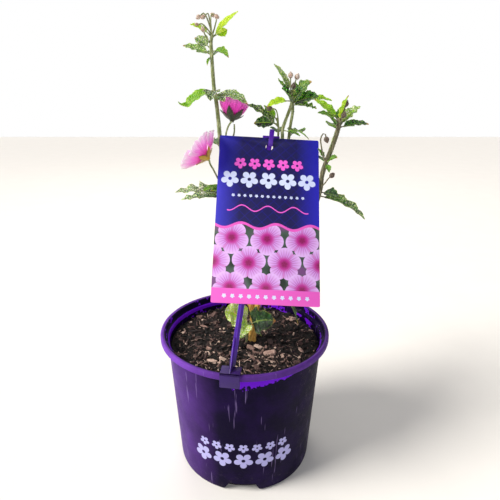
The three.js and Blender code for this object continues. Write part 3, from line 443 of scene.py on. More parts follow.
# Bud and calyx skin: thick olive tissue, flushed at the edges, covered in down
def budSkin(name, base, flush, pale):
    settings = {"IOR": 1.42, "Roughness": 0.62, "Sheen Weight": 0.4, "Subsurface Weight": 0.1}
    settings["Subsurface Scale"] = 0.001
    material, tree, surface = newMaterial(name, settings)
    point = objectPoint(tree)
    blade = addNode(tree, "Attribute", {"attribute_name": "blade"}).outputs["Vector"]
    parts = addNode(tree, "SeparateXYZ", {}, {"Vector": blade}).outputs
    edge = mathOf(tree, "POWER", mathOf(tree, "ABSOLUTE", parts[0]), 3.0)
    body = mixOf(tree, mathOf(tree, "MULTIPLY", edge, 0.85), base, flush)
    fleck = rampOf(tree, noiseAt(tree, point, 1.0, 4, 0.7), [(0.5, "#000000"), (0.64, "#ffffff")])
    body = mixOf(tree, mathOf(tree, "MAXIMUM", mathOf(tree, "MULTIPLY", fleck, 0.5), parts[2]), body, pale)
    tree.links.new(body, surface.inputs["Base Color"])
    bumpOf(tree, surface, noiseAt(tree, point, 0.9, 4), 0.3)
    return material


# Composted bark: near-black moist crumb
def compost():
    material, tree, surface = newMaterial("moist bark compost", {"IOR": 1.4})
    point = objectPoint(tree)
    crumb = noiseAt(tree, point, 2.4, 8, 0.75)
    body = rampOf(tree, crumb, [(0.34, "#020101"), (0.55, "#0c0705"), (0.72, "#33221a")])
    tree.links.new(body, surface.inputs["Base Color"])
    rough = addNode(tree, "MapRange", {"To Min": 0.95, "To Max": 0.6}, {"Value": crumb})
    tree.links.new(rough.outputs[0], surface.inputs["Roughness"])
    bumpOf(tree, surface, crumb, 1.4)
    return material


# Bark chips and crumbs: each one has its own shade, with torn fibres along it
def barkChips():
    material, tree, surface = newMaterial("broken pine bark", {"IOR": 1.45, "Roughness": 0.85})
    point = objectPoint(tree)
    tint = addNode(tree, "SeparateXYZ", {}, {"Vector": addNode(tree, "Attribute", {"attribute_name": "tint"}).outputs["Vector"]}).outputs
    stops = [(0.0, "#040304"), (0.36, "#150e0e"), (0.62, "#463331"), (0.82, "#8f7268"), (1.0, "#d2b9a8")]
    fibre = noiseAt(tree, point, 1.5, 6, 0.7)
    shade = mathOf(tree, "ADD", tint[0], mathOf(tree, "MULTIPLY_ADD", fibre, 0.6, -0.3))
    tree.links.new(rampOf(tree, shade, stops), surface.inputs["Base Color"])
    bumpOf(tree, surface, fibre, 0.6)
    return material


def studioFloor():
    material, tree, surface = newMaterial("matt painted floor", {"Roughness": 0.9})
    grain = noiseAt(tree, objectPoint(tree), 60, 4)
    tree.links.new(mixOf(tree, grain, "#eceae7", "#e6e4e1"), surface.inputs["Base Color"])
    bumpOf(tree, surface, noiseAt(tree, objectPoint(tree), 2, 3), 0.05)
    return material


print("materials ready")

# Mesh helpers


# Makes an object of a bmesh that is in millimetres, smooth except at edges sharper than the limit
def finishPiece(name, bm, materials, node=None, sharp=0.75):
    bmesh.ops.scale(bm, vec=(mm, mm, mm), verts=bm.verts)
    for face in bm.faces:
        face.smooth = True
    for edge in bm.edges:
        edge.smooth = not edge.is_manifold or edge.calc_face_angle(0) < sharp
    mesh = bpy.data.meshes.new(name)
    bm.to_mesh(mesh)
    bm.free()
    piece = bpy.data.objects.new(name, mesh)
    bpy.context.scene.collection.objects.link(piece)
    for material in materials:
        mesh.materials.append(material)
    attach(piece, "root")
    if node:
        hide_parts(node)
    return piece


def newMesh():
    bm = bmesh.new()
    bm.verts.layers.float_vector.new("blade")
    bm.verts.layers.float_vector.new("tint")
    return bm


# Moves what is in one bmesh into another, with a material slot and a tint
def addTo(whole, part, slot=0, tint=None):
    if tint:
        layer = part.verts.layers.float_vector["tint"]
        for vert in part.verts:
            vert[layer] = tint
    for face in part.faces:
        face.material_index = slot
    mesh = bpy.data.meshes.new("part")
    part.to_mesh(mesh)
    part.free()
    whole.from_mesh(mesh)
    bpy.data.meshes.remove(mesh)


# A centripetal spline through points, as dense points with their distance along it
def routeOf(points):
    given = [Vector(p) for p in points]
    given = [given[0] * 2 - given[1]] + given + [given[-1] * 2 - given[-2]]
    dense = []
    for i in range(len(given) - 3):
        a, b, c, d = given[i:i + 4]
        gaps = [max((q - p).length, 1e-6) ** 0.5 for p, q in ((a, b), (b, c), (c, d))]
        start = ((b - a) / gaps[0] - (c - a) / (gaps[0] + gaps[1]) + (c - b) / gaps[1]) * gaps[1]
        end = ((c - b) / gaps[1] - (d - b) / (gaps[1] + gaps[2]) + (d - c) / gaps[2]) * gaps[1]
        for k in range(16):
            t = k / 16
            bend = (c - b) * 3 - start * 2 - end
            twist = (b - c) * 2 + start + end
            dense.append(b + start * t + bend * t * t + twist * t * t * t)
    dense.append(given[-2].copy())
    reach = [0.0]
    for p, q in zip(dense, dense[1:]):
        reach.append(reach[-1] + (q - p).length)
    return dense, reach


def pointAt(route, share):
    dense, reach = route
    target = clamp(share) * reach[-1]
    low = 0
    while low < len(reach) - 2 and reach[low + 1] < target:
        low += 1
    span = max(reach[low + 1] - reach[low], 1e-9)
    return dense[low].lerp(dense[low + 1], (target - reach[low]) / span)


def wayAt(route, share):
    return (pointAt(route, min(share + 0.01, 1)) - pointAt(route, max(share - 0.01, 0))).normalized()


def atHeight(route, height):
    low, high = 0.0, 1.0
    for _ in range(30):
        middle = (low + high) / 2
        if pointAt(route, middle).z < height:
            low = middle
        else:
            high = middle
    return pointAt(route, low)


def ringFrame(route, share, radius):
    way = wayAt(route, share)
    across = Vector((0.31, -0.95, 0.07)).cross(way).normalized()
    turn = Matrix((across, way.cross(across), way)).transposed().to_4x4()
    return Matrix.Translation(pointAt(route, share)) @ turn @ Matrix.Diagonal((radius, radius, radius, 1))


# A round shoot along a route: one ring is extruded from place to place, then both ends are closed
def shoot(route, start, end, startRadius, endRadius, sides=12, steps=40, lumps=0.0, seed=0):
    bm = newMesh()
    here = ringFrame(route, start, startRadius)
    bmesh.ops.create_circle(bm, cap_ends=False, segments=sides, radius=1, matrix=here)
    edges = bm.edges[:]
    first = edges[:]
    for k in range(1, steps + 1):
        t = k / steps
        swell = 1 + lumps * noise.noise(Vector((k * 0.37, seed, 2.1)))
        there = ringFrame(route, lerp(start, end, t), lerp(startRadius, endRadius, t) * swell)
        made = bmesh.ops.extrude_edge_only(bm, edges=edges)["geom"]
        edges = [g for g in made if isinstance(g, bmesh.types.BMEdge) and all(v in made for v in g.verts)]
        verts = [g for g in made if isinstance(g, bmesh.types.BMVert)]
        edges = [e for e in edges if len(e.link_faces) == 1]
        bmesh.ops.transform(bm, matrix=there @ here.inverted(), verts=verts)
        here = there
    bmesh.ops.edgeloop_fill(bm, edges=first)
    bmesh.ops.edgeloop_fill(bm, edges=edges)
    bmesh.ops.recalc_face_normals(bm, faces=bm.faces)
    return bm


# Leaf outlines: place along the blade, half width, and how far the edge sweeps forward
outlines = {
    "lobed": [(0, 0.1, 0), (0.06, 0.5, 0), (0.12, 0.7, 0), (0.28, 1, 0.16), (0.42, 0.62, 0.03),
              (0.58, 0.68, 0.06), (0.8, 0.38, 0.04), (1, 0.03, 0)],
    "toothed": [(0, 0.1, 0), (0.07, 0.5, 0), (0.16, 0.76, 0), (0.32, 1, 0.05), (0.46, 0.84, 0.02),
                (0.6, 0.8, 0.06), (0.8, 0.46, 0.04), (1, 0.03, 0)],
    "broad": [(0, 0.1, 0), (0.08, 0.55, 0.02), (0.24, 1, 0.1), (0.5, 0.64, 0.02), (0.72, 0.56, 0.05), (1, 0.03, 0)],
    "narrow": [(0, 0.14, 0), (0.2, 0.72, 0), (0.42, 1, 0), (0.7, 0.7, 0), (1, 0.05, 0)],
    "young": [(0, 0.14, 0), (0.14, 0.6, 0), (0.34, 1, 0.04), (0.7, 0.66, 0), (1, 0.05, 0)],
    "round": [(0, 0.1, 0), (0.05, 0.5, 0), (0.14, 0.78, 0), (0.34, 1, 0.02), (0.6, 0.96, 0.02), (0.84, 0.66, 0),
              (0.95, 0.4, 0), (1, 0.1, 0)],
}

leafMake = {"thickness": 0.34, "youngLength": 13.5, "columns": 10, "rows": 32, "teeth": 11, "stalkRadius": 0.5}


def outlineAt(outline, s):
    for (s0, half0, sweep0), (s1, half1, sweep1) in zip(outline, outline[1:]):
        if s <= s1:
            t = (s - s0) / (s1 - s0)
            return lerp(half0, half1, t), lerp(sweep0, sweep1, t)
    return outline[-1][1], outline[-1][2]


# One leaf: height on its stem, azimuth from +X to +Y, pitch above level, droop over its length,
# length, width and stalk in millimetres, tone from dark to lime, which also paints light and shade on the whole leaf,
# and how much down shows
def leafAt(height, azimuth, pitch, droop, length, width, stalk, tone, down, **more):
    leaf = dict(height=height, azimuth=azimuth, pitch=pitch, droop=droop, length=length, width=width)
    leaf.update(stalk=stalk, tone=tone, down=down, curl=0, sweep=0, fold=18, roll=0, wave=None, shape=None)
    leaf.update(more)
    return leaf


# The bent line that a leaf's stalk and midrib follow
def leafSpine(root, leaf, inset):
    azimuth = math.radians(leaf["azimuth"])
    steps = 24
    total = leaf["stalk"] + leaf["length"]
    points = [root + Vector((math.cos(azimuth), math.sin(azimuth), 0)) * inset]
    ways = []
    for i in range(steps + 1):
        s = i / steps
        bend = leaf["droop"] * s - leaf["curl"] * max(0, (s - 0.66) / 0.34)
        pitch = math.radians(leaf["pitch"] - bend)
        turn = azimuth + math.radians(leaf["sweep"]) * s
        ways.append(Vector((math.cos(pitch) * math.cos(turn), math.cos(pitch) * math.sin(turn), math.sin(pitch))))
        if i < steps:
            points.append(points[i] + ways[i] * (total / steps))
    return points, ways, total


# The blade is a grid that is bent along the spine, folded at the midrib, puckered and toothed
def leafBlade(root, leaf, inset, seed):
    draw = random.Random(seed)
    shape = leaf["shape"] or ("young" if leaf["length"] < leafMake["youngLength"] else "toothed")
    outline = outlines[shape]
    small = leaf["length"] < 10 or leaf["width"] < 6
    rows = leafMake["rows"] // 2 if small else leafMake["rows"]
    columns = leafMake["columns"] // 2 + 1 if small else leafMake["columns"]
    points, ways, total = leafSpine(root, leaf, inset)
    azimuth = math.radians(leaf["azimuth"])
    level = Vector((-math.sin(azimuth), math.cos(azimuth), 0))
    wave = 0.045 * leaf["width"] if leaf["wave"] is None else leaf["wave"]
    veins = max(3, round(leaf["length"] / 4.2))
    lean = draw.uniform(-0.04, 0.04)
    bm = newMesh()
    bmesh.ops.create_grid(bm, x_segments=columns, y_segments=rows, size=1)
    blade = bm.verts.layers.float_vector["blade"]
    for vert in bm.verts:
        u, s = vert.co.x, (vert.co.y + 1) / 2
        half, sweep = outlineAt(outline, s)
        edge = smoothStep(0.55, 1, abs(u))
        tooth = 0 if shape == "narrow" else abs(((s * leafMake["teeth"] + 0.5 * (u > 0)) % 1) - 0.5) - 0.2
        half *= 1 + 0.3 * tooth * edge * (1 - s * 0.4) + 0.05 * noise.noise(Vector((u * 2, s * 7, seed)))
        reach = max(half * leaf["width"] * 0.5, 0.3)
        distance = leaf["stalk"] + (s + abs(u) ** 1.5 * sweep + edge * tooth * 0.03) * leaf["length"]
        place = min(distance / total * 24, 24 - 1e-6)
        i = int(place)
        way = ways[i].lerp(ways[min(i + 1, 24)], place - i).normalized()
        across = (level - way * level.dot(way)).normalized()
        across.rotate(Quaternion(way, math.radians(leaf["roll"])))
        outward = way.cross(across)
        side = abs(u)
        sideVein = abs(((s * veins - side * 1.3 + lean * 8) % 1) - 0.5) * 2
        vein = max(1 - side * 9, smoothStep(0.8, 1, sideVein) * (1 - side * 0.5), 0)
        pucker = 0.05 * math.sqrt(leaf["width"]) * (1 - sideVein ** 2) * smoothStep(0.05, 0.3, side)
        ripple = wave * side * math.cos(s * 22 + seed) * smoothStep(0.1, 0.3, s) * (1 - smoothStep(0.75, 1, s))
        rough = 0.28 * noise.noise(Vector((u * leaf["width"] * 0.3, s * leaf["length"] * 0.3, seed * 1.7)))
        lift = side ** 1.15 * reach * math.tan(math.radians(leaf["fold"])) + ripple + pucker + rough - 0.16 * vein
        lift *= smoothStep(0, 0.08, s)
        vert.co = points[i].lerp(points[i + 1], place - i) + across * (u * reach) + outward * lift
        vert[blade] = (u, s, vein)
    faces = bm.faces[:]
    bmesh.ops.solidify(bm, geom=faces, thickness=leafMake["thickness"])
    bmesh.ops.recalc_face_normals(bm, faces=bm.faces)
    return bm


def leafStalk(root, leaf, inset):
    points = leafSpine(root, leaf, inset)[0]
    last = max(3, int(24 * (leaf["stalk"] + 0.1 * leaf["length"]) / (leaf["stalk"] + leaf["length"])) + 1)
    radius = leafMake["stalkRadius"] * (0.6 if leaf["length"] < 12 else 1)
    return shoot(routeOf(points[:last + 1]), 0, 1, radius * 1.25, radius * 0.7, 6, 5)


def addLeaves(whole, route, leaves, seed, inset=0.9, greenSlot=0, leafSlot=1):
    for k, leaf in enumerate(leaves):
        root = atHeight(route, leaf["height"])
        draw = random.Random(seed + k)
        tint = (leaf["tone"], leaf["down"] if leaf["down"] > 0.45 else leaf["down"] * 0.4, draw.random())
        addTo(whole, leafBlade(root, leaf, inset, seed + k), leafSlot, tint)
        addTo(whole, leafStalk(root, leaf, inset), greenSlot)


budMake = {"radius": 2.0, "length": 5.0, "stalk": 0.5, "hairs": 110, "hairLength": 1.0}


# A bud: a pointed egg wrapped in five ribbed sepals
def addBud(whole, points, seed, stalkSlot=0, budSlot=2, size=1.0):
    route = routeOf(points)
    addTo(whole, shoot(route, 0, 1, budMake["stalk"] + 0.12, budMake["stalk"], 7, 12), stalkSlot)
    bm = newMesh()
    bmesh.ops.create_uvsphere(bm, u_segments=20, v_segments=12, radius=1)
    blade = bm.verts.layers.float_vector["blade"]
    for vert in bm.verts:
        angle = math.atan2(vert.co.y, vert.co.x)
        seam = abs(((angle * 5 / math.tau) % 1) - 0.5) * 2
        z = vert.co.z
        slim = 1 - 0.35 * max(z, 0)
        rib = 1 + 0.1 * (1 - seam) - 0.1 * smoothStep(0.7, 1, seam)
        vert[blade] = (seam, (z + 1) / 2, 0)
        vert.co = Vector((vert.co.x * slim * rib, vert.co.y * slim * rib, 0))
        vert.co *= budMake["radius"] * size
        vert.co.z = (z + 0.7) * budMake["length"] * 0.5 * (0.4 + 0.6 * size)
    place = Matrix.Translation(pointAt(route, 1)) @ wayAt(route, 1).to_track_quat("Z", "Y").to_matrix().to_4x4()
    bmesh.ops.transform(bm, matrix=place, verts=bm.verts)
    addHairs(bm, bm.verts[:], budMake["hairs"], budMake["hairLength"], seed, pointAt(route, 1))
    addTo(whole, bm, budSlot)


# Short hairs that stand out from chosen points, each a slim three-sided spike
def addHairs(bm, verts, count, length, seed, centre=None):
    draw = random.Random(seed)
    bm.normal_update()
    chosen = [(v.co.copy(), v.normal.copy()) for v in draw.choices(verts, k=count)]
    blade = bm.verts.layers.float_vector["blade"]
    for place, way in chosen:
        way = (way + Vector((draw.uniform(-0.5, 0.5), draw.uniform(-0.5, 0.5), draw.uniform(-0.5, 0.5)))).normalized()
        reach = length * draw.uniform(0.5, 1)
        jitter = Vector((draw.uniform(-0.2, 0.2), draw.uniform(-0.2, 0.2), draw.uniform(-0.4, 0.4)))
        turn = way.to_track_quat("Z", "Y").to_matrix().to_4x4()
        matrix = Matrix.Translation(place + jitter + way * (reach / 2 - 0.1)) @ turn
        made = bmesh.ops.create_cone(bm, cap_ends=False, segments=3, radius1=0.055, radius2=0, depth=reach, matrix=matrix)
        for vert in made["verts"]:
            vert[blade] = (0, 0, 1)


# The plant's routes, from the fork of the woody foot to the tips
leftRoute = [
    (7, 3, 132), (3, 6, 144), (-3, 11, 162), (-9, 20, 195), (-14, 29, 225), (-18, 40, 252), (-20.5, 46, 271),
    (-21.5, 47, 284), (-23.2, 48, 300), (-24.6, 48, 309), (-25.8, 49, 330), (-26.3, 50, 343), (-25.2, 50, 348),
]
centreRoute = [
    (7.5, 4, 133), (9.5, 9, 148), (14, 16, 172), (20, 24, 198), (25.5, 35, 229), (29.5, 45, 256), (31.5, 49, 271),
    (31.2, 49.5, 276), (33.7, 50, 284), (38.3, 50, 298), (37.6, 50, 306),
]
companionRoute = [(26.5, 37, 234), (31, 45, 248), (36.4, 52, 265), (38, 53.5, 278), (39.7, 53, 292), (38.6, 51, 300)]
sideRoute = [(26.5, 37, 235), (26, 43, 246), (27, 50, 260), (28.1, 51, 278), (26.5, 50.5, 286)]
rightRoute = [
    (8, 2, 131), (14, 4, 144), (25, 8, 160), (42, 16, 190), (55.6, 22.5, 213), (61.4, 26, 231), (62.4, 26.5, 243),
    (64.6, 26.5, 252), (68.2, 26, 263), (71.4, 26, 274), (73, 26, 281), (73.4, 26, 287),
]
lowRoute = [(1.2, -5.6, 101), (1.6, -5.8, 112), (3.2, -5, 121), (4.6, -4.4, 127)]
footRoute = [(6.2, -3, 100), (6.4, -2.4, 110), (7.2, 0, 122), (7.6, 2.6, 134)]
armEnd = {"left": 0.13, "centre": 0.12, "right": 0.15}

leftLeaves = [
    leafAt(346, 6, 46, 6, 24, 7, 3, 0.95, 0.1, fold=30, roll=40, shape="narrow"),
    leafAt(346, 35, 30, 10, 10, 9, 5, 0.85, 0.1, roll=60),
    leafAt(347, 187, 46, 40, 14, 7, 4, 0.95, 0.4, fold=12, roll=-35),
    leafAt(338, 150, 46, 34, 13, 11, 4, 0.3, 0.6, roll=-50, shape="lobed"),
    leafAt(334, 190, 22, 14, 19, 11, 3, 0.42, 0.75, roll=-40, shape="lobed"),
    leafAt(336, 338, 6, 52, 13, 9, 2, 0.5, 0.4, fold=30, roll=25),
    leafAt(333, 232, -48, 20, 7, 4, 1.5, 0.55, 0.3, roll=10),
    leafAt(331, 90, 40, 50, 15, 11, 4, 0.4, 0.4, shape="broad"),
    leafAt(307, 197, -6, 62, 30, 11, 3, 0.6, 0.2, curl=140, roll=-30),
    leafAt(306, 262, 12, 70, 15, 14, 3, 0.1, 0.6, shape="lobed"),
    leafAt(303, 300, 6, 44, 13, 11, 3, 0.4, 0.95, roll=30, shape="lobed"),
    leafAt(304, 338, 10, 52, 25, 11, 4, 0.35, 0.6, roll=30),
    leafAt(302, 95, 20, 50, 20, 15, 5, 0.35, 0.4, shape="broad"),
    leafAt(226, 186, 16, 24, 35, 19, 7, 0.3, 1.0, roll=-12, wave=1.3, shape="lobed"),
    leafAt(224, 172, 5, 20, 31, 18, 8, 0.3, 1.0, roll=-10, wave=1.2, shape="lobed"),
    leafAt(230, 198, 34, 74, 17, 7, 4, 0.6, 0.4, roll=-10),
    leafAt(229, 222, 20, 20, 12, 8, 4, 0.5, 0.3, roll=-20),
    leafAt(262, 120, 30, 50, 22, 16, 7, 0.35, 0.4, shape="broad"),
    leafAt(244, 50, 24, 45, 20, 15, 6, 0.35, 0.3, shape="broad"),
    leafAt(206, 75, 28, 52, 24, 18, 8, 0.3, 0.4, shape="broad"),
    leafAt(174, 112, 14, 50, 24, 18, 8, 0.3, 0.3, shape="broad"),
]
centreLeaves = [
    leafAt(299, 196, 6, 36, 17, 8, 4, 0.9, 0.1, fold=25, roll=-35),
    leafAt(298, 232, 52, 30, 16, 16, 2, 0.22, 0.1, roll=-50),
    leafAt(298, 324, 56, 26, 21, 20, 2, 0.34, 0.1, roll=56, shape="lobed"),
    leafAt(297, 330, 26, 24, 21, 17, 2, 0.25, 0.15, roll=46, shape="lobed"),
    leafAt(304, 172, 66, 14, 23, 8, 4, 0.35, 0.55, fold=30, roll=-30),
    leafAt(303, 150, 50, 10, 13, 9, 5, 0.4, 0.4, curl=30),
    leafAt(298, 6, 18, 32, 28, 14, 5, 0.75, 0.3, roll=20, shape="lobed"),
    leafAt(296, 350, 4, 24, 15, 11, 5, 0.45, 0.5, roll=15, wave=1),
    leafAt(301, 80, 34, 50, 20, 15, 5, 0.35, 0.3, shape="broad"),
    leafAt(276, 338, -6, 18, 12, 6, 3, 0.5, 0.4, fold=30),
    leafAt(248, 20, 24, 50, 22, 17, 8, 0.3, 0.3, shape="broad"),
    leafAt(236, 110, 24, 52, 25, 19, 9, 0.3, 0.4, shape="broad"),
    leafAt(204, 96, 26, 54, 25, 19, 9, 0.3, 0.3, shape="broad"),
    leafAt(182, 130, 16, 46, 22, 17, 8, 0.3, 0.4, shape="broad"),
    leafAt(164, 70, 10, 44, 24, 19, 8, 0.25, 0.3, shape="broad"),
]
companionLeaves = [
    leafAt(277, 345, -8, 40, 16, 4, 2, 0.55, 0.5, shape="narrow"),
    leafAt(270, 60, 28, 48, 22, 17, 7, 0.35, 0.3, shape="broad"),
]
sideLeaves = [
    leafAt(279, 196, 44, 22, 28, 15, 4, 0.08, 0.55, roll=-35, shape="lobed"),
    leafAt(281, 158, 10, 20, 17, 13, 4, 0.05, 0.2, roll=-50),
    leafAt(284, 172, 56, 20, 13, 9, 3, 0.6, 0.2, roll=-30),
    leafAt(272, 90, 30, 46, 18, 13, 5, 0.3, 0.3, shape="broad"),
]
rightLeaves = [
    leafAt(285, 300, 76, 14, 18, 9, 2, 0.85, 0.2, fold=26, roll=30),
    leafAt(285, 162, 52, 28, 21, 9, 4, 0.7, 0.25, roll=-30),
    leafAt(284, 200, 36, 30, 16, 8, 4, 0.4, 0.4, roll=-30),
    leafAt(280, 200, 52, 10, 10, 5, 3, 0.5, 0.3),
    leafAt(279, 216, 24, 10, 9, 5, 2, 0.5, 0.3),
    leafAt(281, 15, 54, 26, 18, 9, 4, 0.55, 0.8, fold=28, roll=30, wave=1),
    leafAt(280, 346, 20, 26, 19, 11, 3, 0.15, 0.35, roll=25, shape="lobed"),
    leafAt(278, 95, 30, 50, 19, 14, 5, 0.35, 0.3, shape="broad"),
    leafAt(283, 70, 50, 40, 16, 12, 4, 0.4, 0.3, shape="broad"),
    leafAt(254, 350, 80, 4, 22, 4, 4, 0.4, 0.8, fold=30, shape="narrow"),
    leafAt(253, 306, 40, 30, 10, 9, 2, 0.4, 0.4, roll=30),
    leafAt(253, 280, -30, 20, 8, 5, 2, 0.45, 0.3),
    leafAt(254, 140, 56, 10, 9, 6, 3, 0.45, 0.3),
    leafAt(251, 80, 24, 48, 20, 15, 6, 0.35, 0.3, shape="broad"),
    leafAt(229, 326, 6, 30, 13, 13, 3, 0.12, 0.3, roll=20),
    leafAt(226, 350, -8, 36, 38, 12, 4, 0.12, 0.55, fold=28, roll=20, wave=0.8),
    leafAt(231, 110, 22, 52, 24, 18, 8, 0.3, 0.3, shape="broad"),
    leafAt(184, 60, 14, 50, 22, 17, 8, 0.3, 0.3, shape="broad"),
    leafAt(166, 338, -16, 54, 22, 15, 8, 0.25, 0.3, shape="broad"),
    leafAt(162, 320, -46, 26, 34, 4.5, 9, 0.1, 0.2, shape="narrow"),
]
# Painted light and shade in these tones: the round leaves are painted pale as if lit, the lobed leaf nearly black as if
# in shade
lowLeaves = [
    leafAt(124, 192, 52, 34, 20, 22, 5, 0.95, 1.0, roll=-45, wave=1.3, shape="round"),
    leafAt(124, 205, 62, 30, 16, 14, 4, 0.8, 1.0, roll=-20, wave=1.1, shape="round"),
    leafAt(124, 328, 44, 42, 23, 24, 4, 0.05, 0.05, roll=72, shape="lobed"),
    leafAt(125, 240, 16, 70, 12, 12, 2, 0.85, 1.0, roll=-10, wave=1, shape="round"),
    leafAt(118, 222, 6, 34, 9, 9, 1.5, 0.5, 0.8, wave=1),
    leafAt(114, 205, 10, 20, 6, 7, 2, 0.6, 0.6),
]

leftBuds = [
    [(-25.2, 50, 347), (-28, 49, 357), (-31, 48, 362.5), (-34, 47, 360.5)],
    [(-25.2, 50, 347), (-27, 51, 358), (-28.4, 52, 363), (-31, 53, 361.5)],
    [(-25.2, 50, 347), (-26, 48, 357), (-25, 47, 362), (-22.4, 46, 360.5)],
    [(-25.2, 50, 347), (-22.5, 52, 356), (-21.8, 53, 360), (-23.6, 54, 361.5)],
    [(-25.2, 50, 347), (-29, 50, 352), (-33, 50, 355.5), (-36, 50, 355)],
    [(-26.2, 50, 341), (-28.6, 48.5, 344), (-30.6, 47.5, 347.5), (-31.6, 47, 350)],
]
centreBuds = [
    [(37.6, 50, 304), (36.8, 49, 312), (36.6, 48.6, 317)],
    [(37.6, 50, 304), (40, 50, 312), (41.4, 49.6, 316)],
    [(37.8, 50, 300), (38.6, 47.5, 306), (38.8, 46.4, 309)],
]
sideBuds = [[(28.1, 51, 278), (27.2, 49.6, 287), (25.2, 47.6, 292.6), (21.6, 46, 293.4)]]
rightBuds = [
    [(72.6, 26, 284), (75.4, 24.4, 291), (76.6, 23.8, 296)],
    [(72.4, 26, 280), (74.2, 23.4, 285), (75, 22.2, 288)],
    [(64.4, 26.5, 253), (61, 24, 262), (59, 22, 273), (61.4, 20.6, 276.4), (62.6, 20, 273)],
    [(61.5, 26, 233), (64.8, 24, 237), (66.6, 22.6, 240.5), (68.4, 22, 242.4)],
]

flowerLeft = {
    "foot": (-28.6, 30, 254.8),
    "way": (-0.75, 0.25, 0.61),
    "stalk": [(-14.2, 29.5, 227), (-18.5, 31, 234), (-22.2, 31, 240), (-25.6, 30.6, 247), (-27.8, 30, 251),
              (-28.8, 30, 255.4)],
    "calyx": {"cup": 2.8, "length": 8.5, "width": 5.4, "spread": (67, 64)},
    "petals": {"start": 3.3, "radius": 20.5, "depth": 8.6, "cupping": 1.1, "flare": 0.85},
    "column": {"start": 5.3, "height": 8},
}
flowerMiddle = {
    "foot": (-10.6, 47.6, 283),
    "way": (0.12, 0.42, 0.9),
    "stalk": [(-19, 44, 259), (-16.4, 45.6, 268), (-14.8, 46, 276), (-12.6, 47, 281), (-10.5, 47.7, 283.4)],
    "calyx": {"cup": 3.4, "length": 10.5, "width": 6, "spread": (62, 51)},
    "petals": {"start": 3.9, "radius": 12.6, "depth": 11.5, "cupping": 1.3, "flare": 0.6},
    "column": {"start": 5.9, "height": 6},
}
spentStalk = [(-19, 44, 259), (-12, 49, 266), (-8.8, 49.5, 274), (-8.6, 50, 281)]


def flowerPlace(flower):
    turn = up.rotation_difference(Vector(flower["way"]))
    return Matrix.Translation(flower["foot"]) @ turn.to_matrix().to_4x4()


# Green cup with five pointed lobes that lie against the petals from outside
def addCalyx(whole, flower, slot, seed):
    make = flower["calyx"]
    place = flowerPlace(flower)
    bm = newMesh()
    lift = Matrix.Translation((0, 0, make["cup"] / 2))
    bmesh.ops.create_cone(bm, cap_ends=True, segments=24, radius1=1.4, radius2=3.4, depth=make["cup"], matrix=lift)
    addHairs(bm, bm.verts[:], 60, 0.9, seed)
    bmesh.ops.transform(bm, matrix=place, verts=bm.verts)
    addTo(whole, bm, slot)
    for k in range(5):
        turn = k * math.tau / 5 + 0.6
        bm = newMesh()
        bmesh.ops.create_grid(bm, x_segments=8, y_segments=12, size=1)
        blade = bm.verts.layers.float_vector["blade"]
        for vert in bm.verts:
            u, v = vert.co.x, (vert.co.y + 1) / 2
            half = lerp(0.86, 1, v * 3) if v < 1 / 3 else (1 - ((v - 1 / 3) / 0.667) ** 1.7) + 0.03
            pitch = math.radians(lerp(make["spread"][0], make["spread"][1], v))
            keel = 0.35 * (1 - abs(u)) - 0.25 + 0.12 * noise.noise(Vector((u * 2, v * 4, k + seed)))
            out = 2.5 + v * make["length"] * math.sin(pitch) + keel * math.cos(pitch)
            rise = make["cup"] - 0.9 + v * make["length"] * math.cos(pitch) - keel * math.sin(pitch)
            across = u * half * make["width"] * 0.5
            vert[blade] = (u, v, 0)
            vert.co = (out * math.cos(turn) + across * math.sin(turn), out * math.sin(turn) - across * math.cos(turn), rise)
        bmesh.ops.solidify(bm, geom=bm.faces[:], thickness=0.4)
        bmesh.ops.recalc_face_normals(bm, faces=bm.faces)
        addHairs(bm, bm.verts[:], 70, 0.8, seed + k)
        bmesh.ops.transform(bm, matrix=place, verts=bm.verts)
        addTo(whole, bm, slot)


# Five broad overlapping petals, fluted along their rays and frilled at the rim
def petalRing(flower, frill):
    make = flower["petals"]
    place = flowerPlace(flower)
    whole = newMesh()
    base = newMesh()
    lift = Matrix.Translation((0, 0, make["start"] + 0.8))
    bmesh.ops.create_cone(base, cap_ends=True, segments=20, radius1=1.6, radius2=2.2, depth=1.6, matrix=lift)
    addTo(whole, base)
    for k in range(5):
        turn = k * math.tau / 5
        bm = newMesh()
        bmesh.ops.create_grid(bm, x_segments=22, y_segments=24, size=1)
        blade = bm.verts.layers.float_vector["blade"]
        for vert in bm.verts:
            u, v = vert.co.x, (vert.co.y + 1) / 2
            v = max(v, 0.004)
            bulge = 1 - 0.06 * u * u * v - 0.015 * math.cos(3 * math.pi * u) * v - 0.03 * smoothStep(0.8, 1, abs(u)) * v
            reach = lerp(1.1, make["radius"] * bulge, v ** make["flare"])
            rise = make["depth"] * v ** make["cupping"] + 0.9 * u * v
            spread = math.radians(22 + 22 * min(1, v * 1.5)) * (1 - 0.08 * smoothStep(0.78, 1, v))
            angle = turn + u * spread
            flute = 0.22 * math.sin(u * 17 + k) * smoothStep(0.1, 0.5, v)
            rim = frill * math.sin(angle * 9 + 2 * k) * smoothStep(0.6, 1, v)
            rim += frill * 0.6 * noise.noise(Vector((angle * 4, v * 3, k)))
            height = make["start"] + 0.4 + rise + 0.35 * math.sin(5 * angle + 2 * k) * v + flute + rim
            vert[blade] = (u, v, 0)
            vert.co = (reach * math.cos(angle), reach * math.sin(angle), height)
        bmesh.ops.solidify(bm, geom=bm.faces[:], thickness=0.3)
        bmesh.ops.recalc_face_normals(bm, faces=bm.faces)
        addTo(whole, bm)
    bmesh.ops.transform(whole, matrix=place, verts=whole.verts)
    return whole


